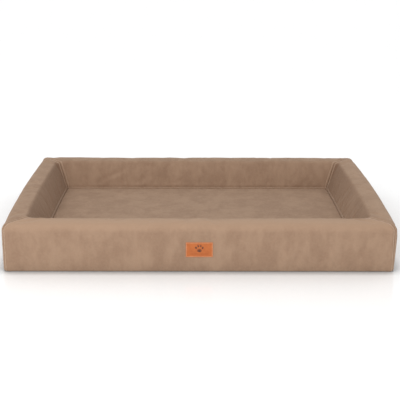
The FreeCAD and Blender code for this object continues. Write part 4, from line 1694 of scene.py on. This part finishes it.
cover_thread = thread_material("cover_thread", (0.47, 0.33, 0.235), (0.70, 0.54, 0.42))
orange_thread = thread_material("patch_thread_orange", (0.60, 0.26, 0.12), (0.80, 0.42, 0.24))
threads = [o for o in bpy.data.objects if o.name.endswith("_corner_thread")]
dress([*threads, floor_thread, zip_thread], cover_thread)
dress([patch_thread], orange_thread)
print("thread is on", len(threads) + 3, "pieces")

# %% [markdown]
# ## The patch's leather and print
#
# The patch is smoother leather than the cover, dyed orange-brown, a little paler in its border and polished
# by handling. The paw print is burnt in, so it is dark and slightly glossier than the leather round it.

# %% Finish the patch
ORANGE = (0.540, 0.155, 0.040)
ORANGE_DARK = (0.400, 0.098, 0.024)
ORANGE_PALE = (0.620, 0.270, 0.130)
BURNT = (0.080, 0.022, 0.008)

patch_leather, tree, shader, place = start_material(
    "patch_leather", Specular_IOR_Level=0.25, Coat_Roughness=0.35, Coat_Weight=0.06
)
broad = mottled(tree, place, 0.012, 1.8)
skin = use(tree, grain, Vector=place, Cell=GRAIN_CELL, Nap=0.4)
border = stored(tree, "border")
rim = stored(tree, "edge")
worn = use(tree, worn_edge, Vector=place, Patch=0.0015, Amount=0.6)["Mask"]
colour = blend_colours(tree, ranged(tree, broad, 0.2, 0.8), ORANGE_DARK, ORANGE)
colour = blend_colours(tree, 0.55, colour, ORANGE)
colour = blend_colours(tree, sums(tree, "MULTIPLY", border, 0.6), colour, ORANGE_PALE)
colour = blend_colours(tree, sums(tree, "MULTIPLY", skin["Crease"], 0.25), colour, ORANGE_DARK)
colour = blend_colours(tree, sums(tree, "MULTIPLY", rim, 0.5), colour, ORANGE_DARK)
colour = blend_colours(tree, worn, colour, ORANGE_PALE)
rule = stored(tree, "rule")
broken = ranged(tree, mottled(tree, place, 0.006, 2.5), 0.3, 0.7, 0.35, 0.9)
colour = blend_colours(tree, sums(tree, "MULTIPLY", rule, broken), colour, ORANGE_DARK)
coat(tree, shader, colour, ranged(tree, broad, 0.2, 0.8, 0.42, 0.58))
bump(tree, shader, skin["Height"], 0.1 * MM, 0.5)
dress([patch], patch_leather)

print_finish, tree, shader, place = start_material("burnt_print", Specular_IOR_Level=0.45)
tone = mottled(tree, place, 0.004, 2.0)
skin = use(tree, grain, Vector=place, Cell=GRAIN_CELL, Nap=0.4)
colour = blend_colours(tree, ranged(tree, tone, 0.3, 0.9), BURNT, ORANGE_DARK)
coat(tree, shader, colour, ranged(tree, tone, 0.2, 0.8, 0.35, 0.5))
bump(tree, shader, skin["Height"], 0.08 * MM, 0.5)
dress([paw], print_finish)
print("patch and print are finished")

# %% [markdown]
# ## Woven cloth, rubber and foam
#
# The base cloth and the zip's tapes are plain weaves of different threads, so both use the weave group.
# Foam is full of small open cells, which show on a cut face as fine dark pores.


# %% Finish the woven pieces
def woven_material(name, thread, warp, weft, dusty, down="Y"):
    """A plain weave over the x direction and one other."""
    made, tree, shader, place = start_material(
        name, Sheen_Weight=0.15, Sheen_Roughness=0.5, Specular_IOR_Level=0.3
    )
    split = put(tree, "SeparateXYZ", {0: place}).outputs
    cloth = use(tree, weave, Across=split["X"], Along=split[down], Thread=thread)
    tone = mottled(tree, place, 0.03, 1.6)
    colour = blend_colours(tree, cloth["Over"], warp, weft)
    between = ranged(tree, cloth["Height"], 0.0, 0.6, 0.6, 0.0)
    colour = blend_colours(tree, between, colour, *tones(warp, 0.3))
    colour = blend_colours(tree, ranged(tree, tone, 0.45, 0.8, 0.0, 0.3), colour, dusty)
    coat(tree, shader, colour, ranged(tree, cloth["Height"], 0.0, 1.0, 0.9, 0.65))
    bump(tree, shader, cloth["Height"], 0.25 * thread, 0.8)
    return made


base_weave = woven_material(
    "base_weave", 0.0011, (0.052, 0.046, 0.043), (0.066, 0.058, 0.054), (0.13, 0.12, 0.11)
)
tape_weave = woven_material(
    "zip_tape_weave", 0.0005, (0.190, 0.128, 0.094), (0.235, 0.160, 0.118), (0.30, 0.23, 0.18), down="Z"
)
dress([base_piece], base_weave)
dress([o for o in bpy.data.objects if o.name.endswith("zip_tape_cloth")], tape_weave)
print("weaves are on the base and the tapes")

# %% Finish the rubber dots
rubber, tree, shader, place = start_material("grip_rubber", Specular_IOR_Level=0.4)
tone = mottled(tree, place, 0.006, 1.8)
colour = blend_colours(tree, ranged(tree, tone, 0.4, 0.9), (0.022, 0.020, 0.020), (0.085, 0.078, 0.072))
coat(tree, shader, colour, ranged(tree, tone, 0.2, 0.8, 0.5, 0.75))
bump(tree, shader, tone, 0.05 * MM, 0.6)
dress([dots], rubber)
print("rubber is on the dots")

# %% Finish the foam
foam_finish, tree, shader, place = start_material("open_cell_foam", Specular_IOR_Level=0.2)
cells = put(tree, "TexVoronoi", {"Vector": place, "Scale": 900.0}, feature="SMOOTH_F1").outputs["Distance"]
pores = ranged(tree, cells, 0.25, 0.55)
tone = mottled(tree, place, 0.09, 1.6)
colour = blend_colours(tree, ranged(tree, tone, 0.2, 0.8), (0.86, 0.83, 0.74), (0.83, 0.77, 0.62))
colour = blend_colours(tree, sums(tree, "MULTIPLY", pores, 0.35), colour, (0.60, 0.54, 0.42))
coat(tree, shader, colour, ranged(tree, tone, 0.2, 0.8, 0.85, 0.95))
bump(tree, shader, sums(tree, "SUBTRACT", 1.0, pores), 0.4 * MM, 0.8)
dress(foams, foam_finish)
print("foam is on", len(foams), "pieces")

# %% [markdown]
# ## Nylon and lacquered metal
#
# The coils are satin nylon, dyed brown. The slider, its tab and the stops are zinc under a dark bronze
# lacquer, which has worn off their edges and shows brighter metal there.

# %% Finish the zip
NYLON = (0.170, 0.115, 0.085)
WORN_NYLON = (0.330, 0.250, 0.200)
BRONZE = (0.160, 0.120, 0.100)
BARE_ZINC = (0.400, 0.350, 0.300)

nylon, tree, shader, place = start_material("satin_nylon", Specular_IOR_Level=0.5)
tone = mottled(tree, place, 0.01, 1.8)
worn = use(tree, worn_edge, Vector=place, Patch=0.002, Amount=0.35)["Mask"]
colour = blend_colours(tree, ranged(tree, tone, 0.2, 0.8), *tones(NYLON, 0.8, 1.2))
colour = blend_colours(tree, worn, colour, WORN_NYLON)
coat(tree, shader, colour, ranged(tree, tone, 0.2, 0.8, 0.28, 0.45))
dress(coils, nylon)

bronze, tree, shader, place = start_material("bronze_lacquer", Specular_IOR_Level=0.5)
tone = mottled(tree, place, 0.003, 1.8)
worn = use(tree, worn_edge, Vector=place, Patch=0.0004, Amount=0.4)["Mask"]
drawn = put(tree, "Mapping", {"Vector": place, "Scale": (1.0, 1.0, 9.0)}).outputs[0]
scratches = put(tree, "TexNoise", {"Vector": drawn, "Scale": 900.0, "Detail": 2.0}).outputs[0]
colour = blend_colours(tree, ranged(tree, tone, 0.2, 0.8), *tones(BRONZE, 0.75, 1.0))
colour = blend_colours(tree, worn, colour, BARE_ZINC)
tree.links.new(ranged(tree, worn, 0.0, 1.0, 0.6, 1.0), shader.inputs["Metallic"])
coat(tree, shader, colour, ranged(tree, scratches, 0.3, 0.7, 0.24, 0.42))
bump(tree, shader, scratches, 0.02 * MM, 0.4)
dress([o for o in bpy.data.objects if o.get("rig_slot") == "zip_metal"], bronze)
print("the zip is finished")

# %% [markdown]
# ## Studio
#
# The bed stands on a plain white floor with a faint gloss, in a white room that lights it evenly from all
# sides. Painted shadow darkens the floor close to the bed: a thin line under its edge and a wide, faint shade
# round it, both drawn by ambient occlusion into the floor's colour and glow. A large soft lamp at the front
# left gives the light a direction, so that the left inner wall is the darkest, along with its painted shade,
# and a second one in front lights the lower half of the front. The camera stands well back with a long lens
# and looks down a little, so the sides hardly converge.

# %% Lay the studio floor
ROOM = 14.0
STAGE_LEVEL = -0.1 * MM
FLOOR_WHITE = 0.90
FLOOR_GLOW = 0.31  # lit from below, like a light table
PAINTED_SHADOWS = [(36 * MM, 0.40), (600 * MM, 0.72)]  # reach and darkest share of the painted contact line and of the painted wide shade
ROOM_LIGHT = 0.72
stage_mesh = bpy.data.meshes.new("studio_floor")
stage_mesh.from_pydata(
    [(x * ROOM, y * ROOM, STAGE_LEVEL) for x, y in ((-1, -1), (1, -1), (1, 1), (-1, 1))], [], [(0, 1, 2, 3)]
)
stage = bpy.data.objects.new("studio_floor", stage_mesh)
bpy.context.scene.collection.objects.link(stage)
stage_paint, tree, shader, _ = start_material("studio_white", roughness=0.15, Specular_IOR_Level=0.85)
open_above = 1.0
# Ambient occlusion paints a contact shadow and a wide shade into the floor's colour and glow.
for reach, darkest in PAINTED_SHADOWS:
    shade = put(tree, "AmbientOcclusion", {"Distance": reach}, samples=4).outputs["AO"]
    open_above = sums(tree, "MULTIPLY", open_above, ranged(tree, shade, 0.5, 1.0, darkest, 1.0))
for socket, white in (("Base Color", FLOOR_WHITE), ("Emission Color", 1.0)):
    colour = blend_colours(tree, open_above, (0.0, 0.0, 0.0), (white, white, white))
    tree.links.new(colour, shader.inputs[socket])
shader.inputs["Emission Strength"].default_value = FLOOR_GLOW
stage.data.materials.append(stage_paint)
print("the studio floor is", round(2 * ROOM), "m wide")

# %% Light the studio
scene = bpy.context.scene
scene.view_settings.view_transform = "Standard"
room = bpy.data.worlds.new("white_room")
room.use_nodes = True
light = room.node_tree.nodes["Background"].inputs
light["Color"].default_value = (1.0, 1.0, 1.0, 1.0)
light["Strength"].default_value = ROOM_LIGHT
scene.world = room


def softbox(name, place, aim, size, power):
    """A square area lamp at a place, aimed at another."""
    lamp = bpy.data.lights.new(name, "AREA")
    lamp.energy = power
    lamp.size = size
    made = bpy.data.objects.new(name, lamp)
    made.location = place
    made.rotation_euler = (Vector(aim) - Vector(place)).to_track_quat("-Z", "Y").to_euler()
    scene.collection.objects.link(made)
    return made


softbox("front_left_softbox", (-1.6, -2.5, 2.1), (0, -0.1, 0.05), 1.6, 31.0)
softbox("low_front_softbox", (0.5, -4.6, 1.4), (0, 0, 0.05), 3.0, 35.5)
print("two softboxes and a white room")

# %% Place the camera
CAMERA_PLACE = (-0.0255, -3.1197, 1.0419)
CAMERA_TURN = math.radians(0.570)  # to the right of straight ahead
CAMERA_DIP = math.radians(16.764)
CAMERA_TILT = math.radians(0.261)
CAMERA_LENS = 84.4  # for a sensor 36 mm wide

camera = bpy.data.objects.new("camera", bpy.data.cameras.new("camera"))
camera.data.lens = CAMERA_LENS
camera.data.sensor_width = 36.0
camera.location = CAMERA_PLACE
flat_look = math.cos(CAMERA_DIP)
look = Vector((math.sin(CAMERA_TURN) * flat_look, math.cos(CAMERA_TURN) * flat_look, -math.sin(CAMERA_DIP)))
camera.rotation_mode = "QUATERNION"
camera.rotation_quaternion = look.to_track_quat("-Z", "Y") @ Quaternion((0, 0, 1), CAMERA_TILT)
scene.collection.objects.link(camera)
scene.camera = camera
print("the camera is", round((Vector(CAMERA_PLACE)).length, 2), "m from the bed")
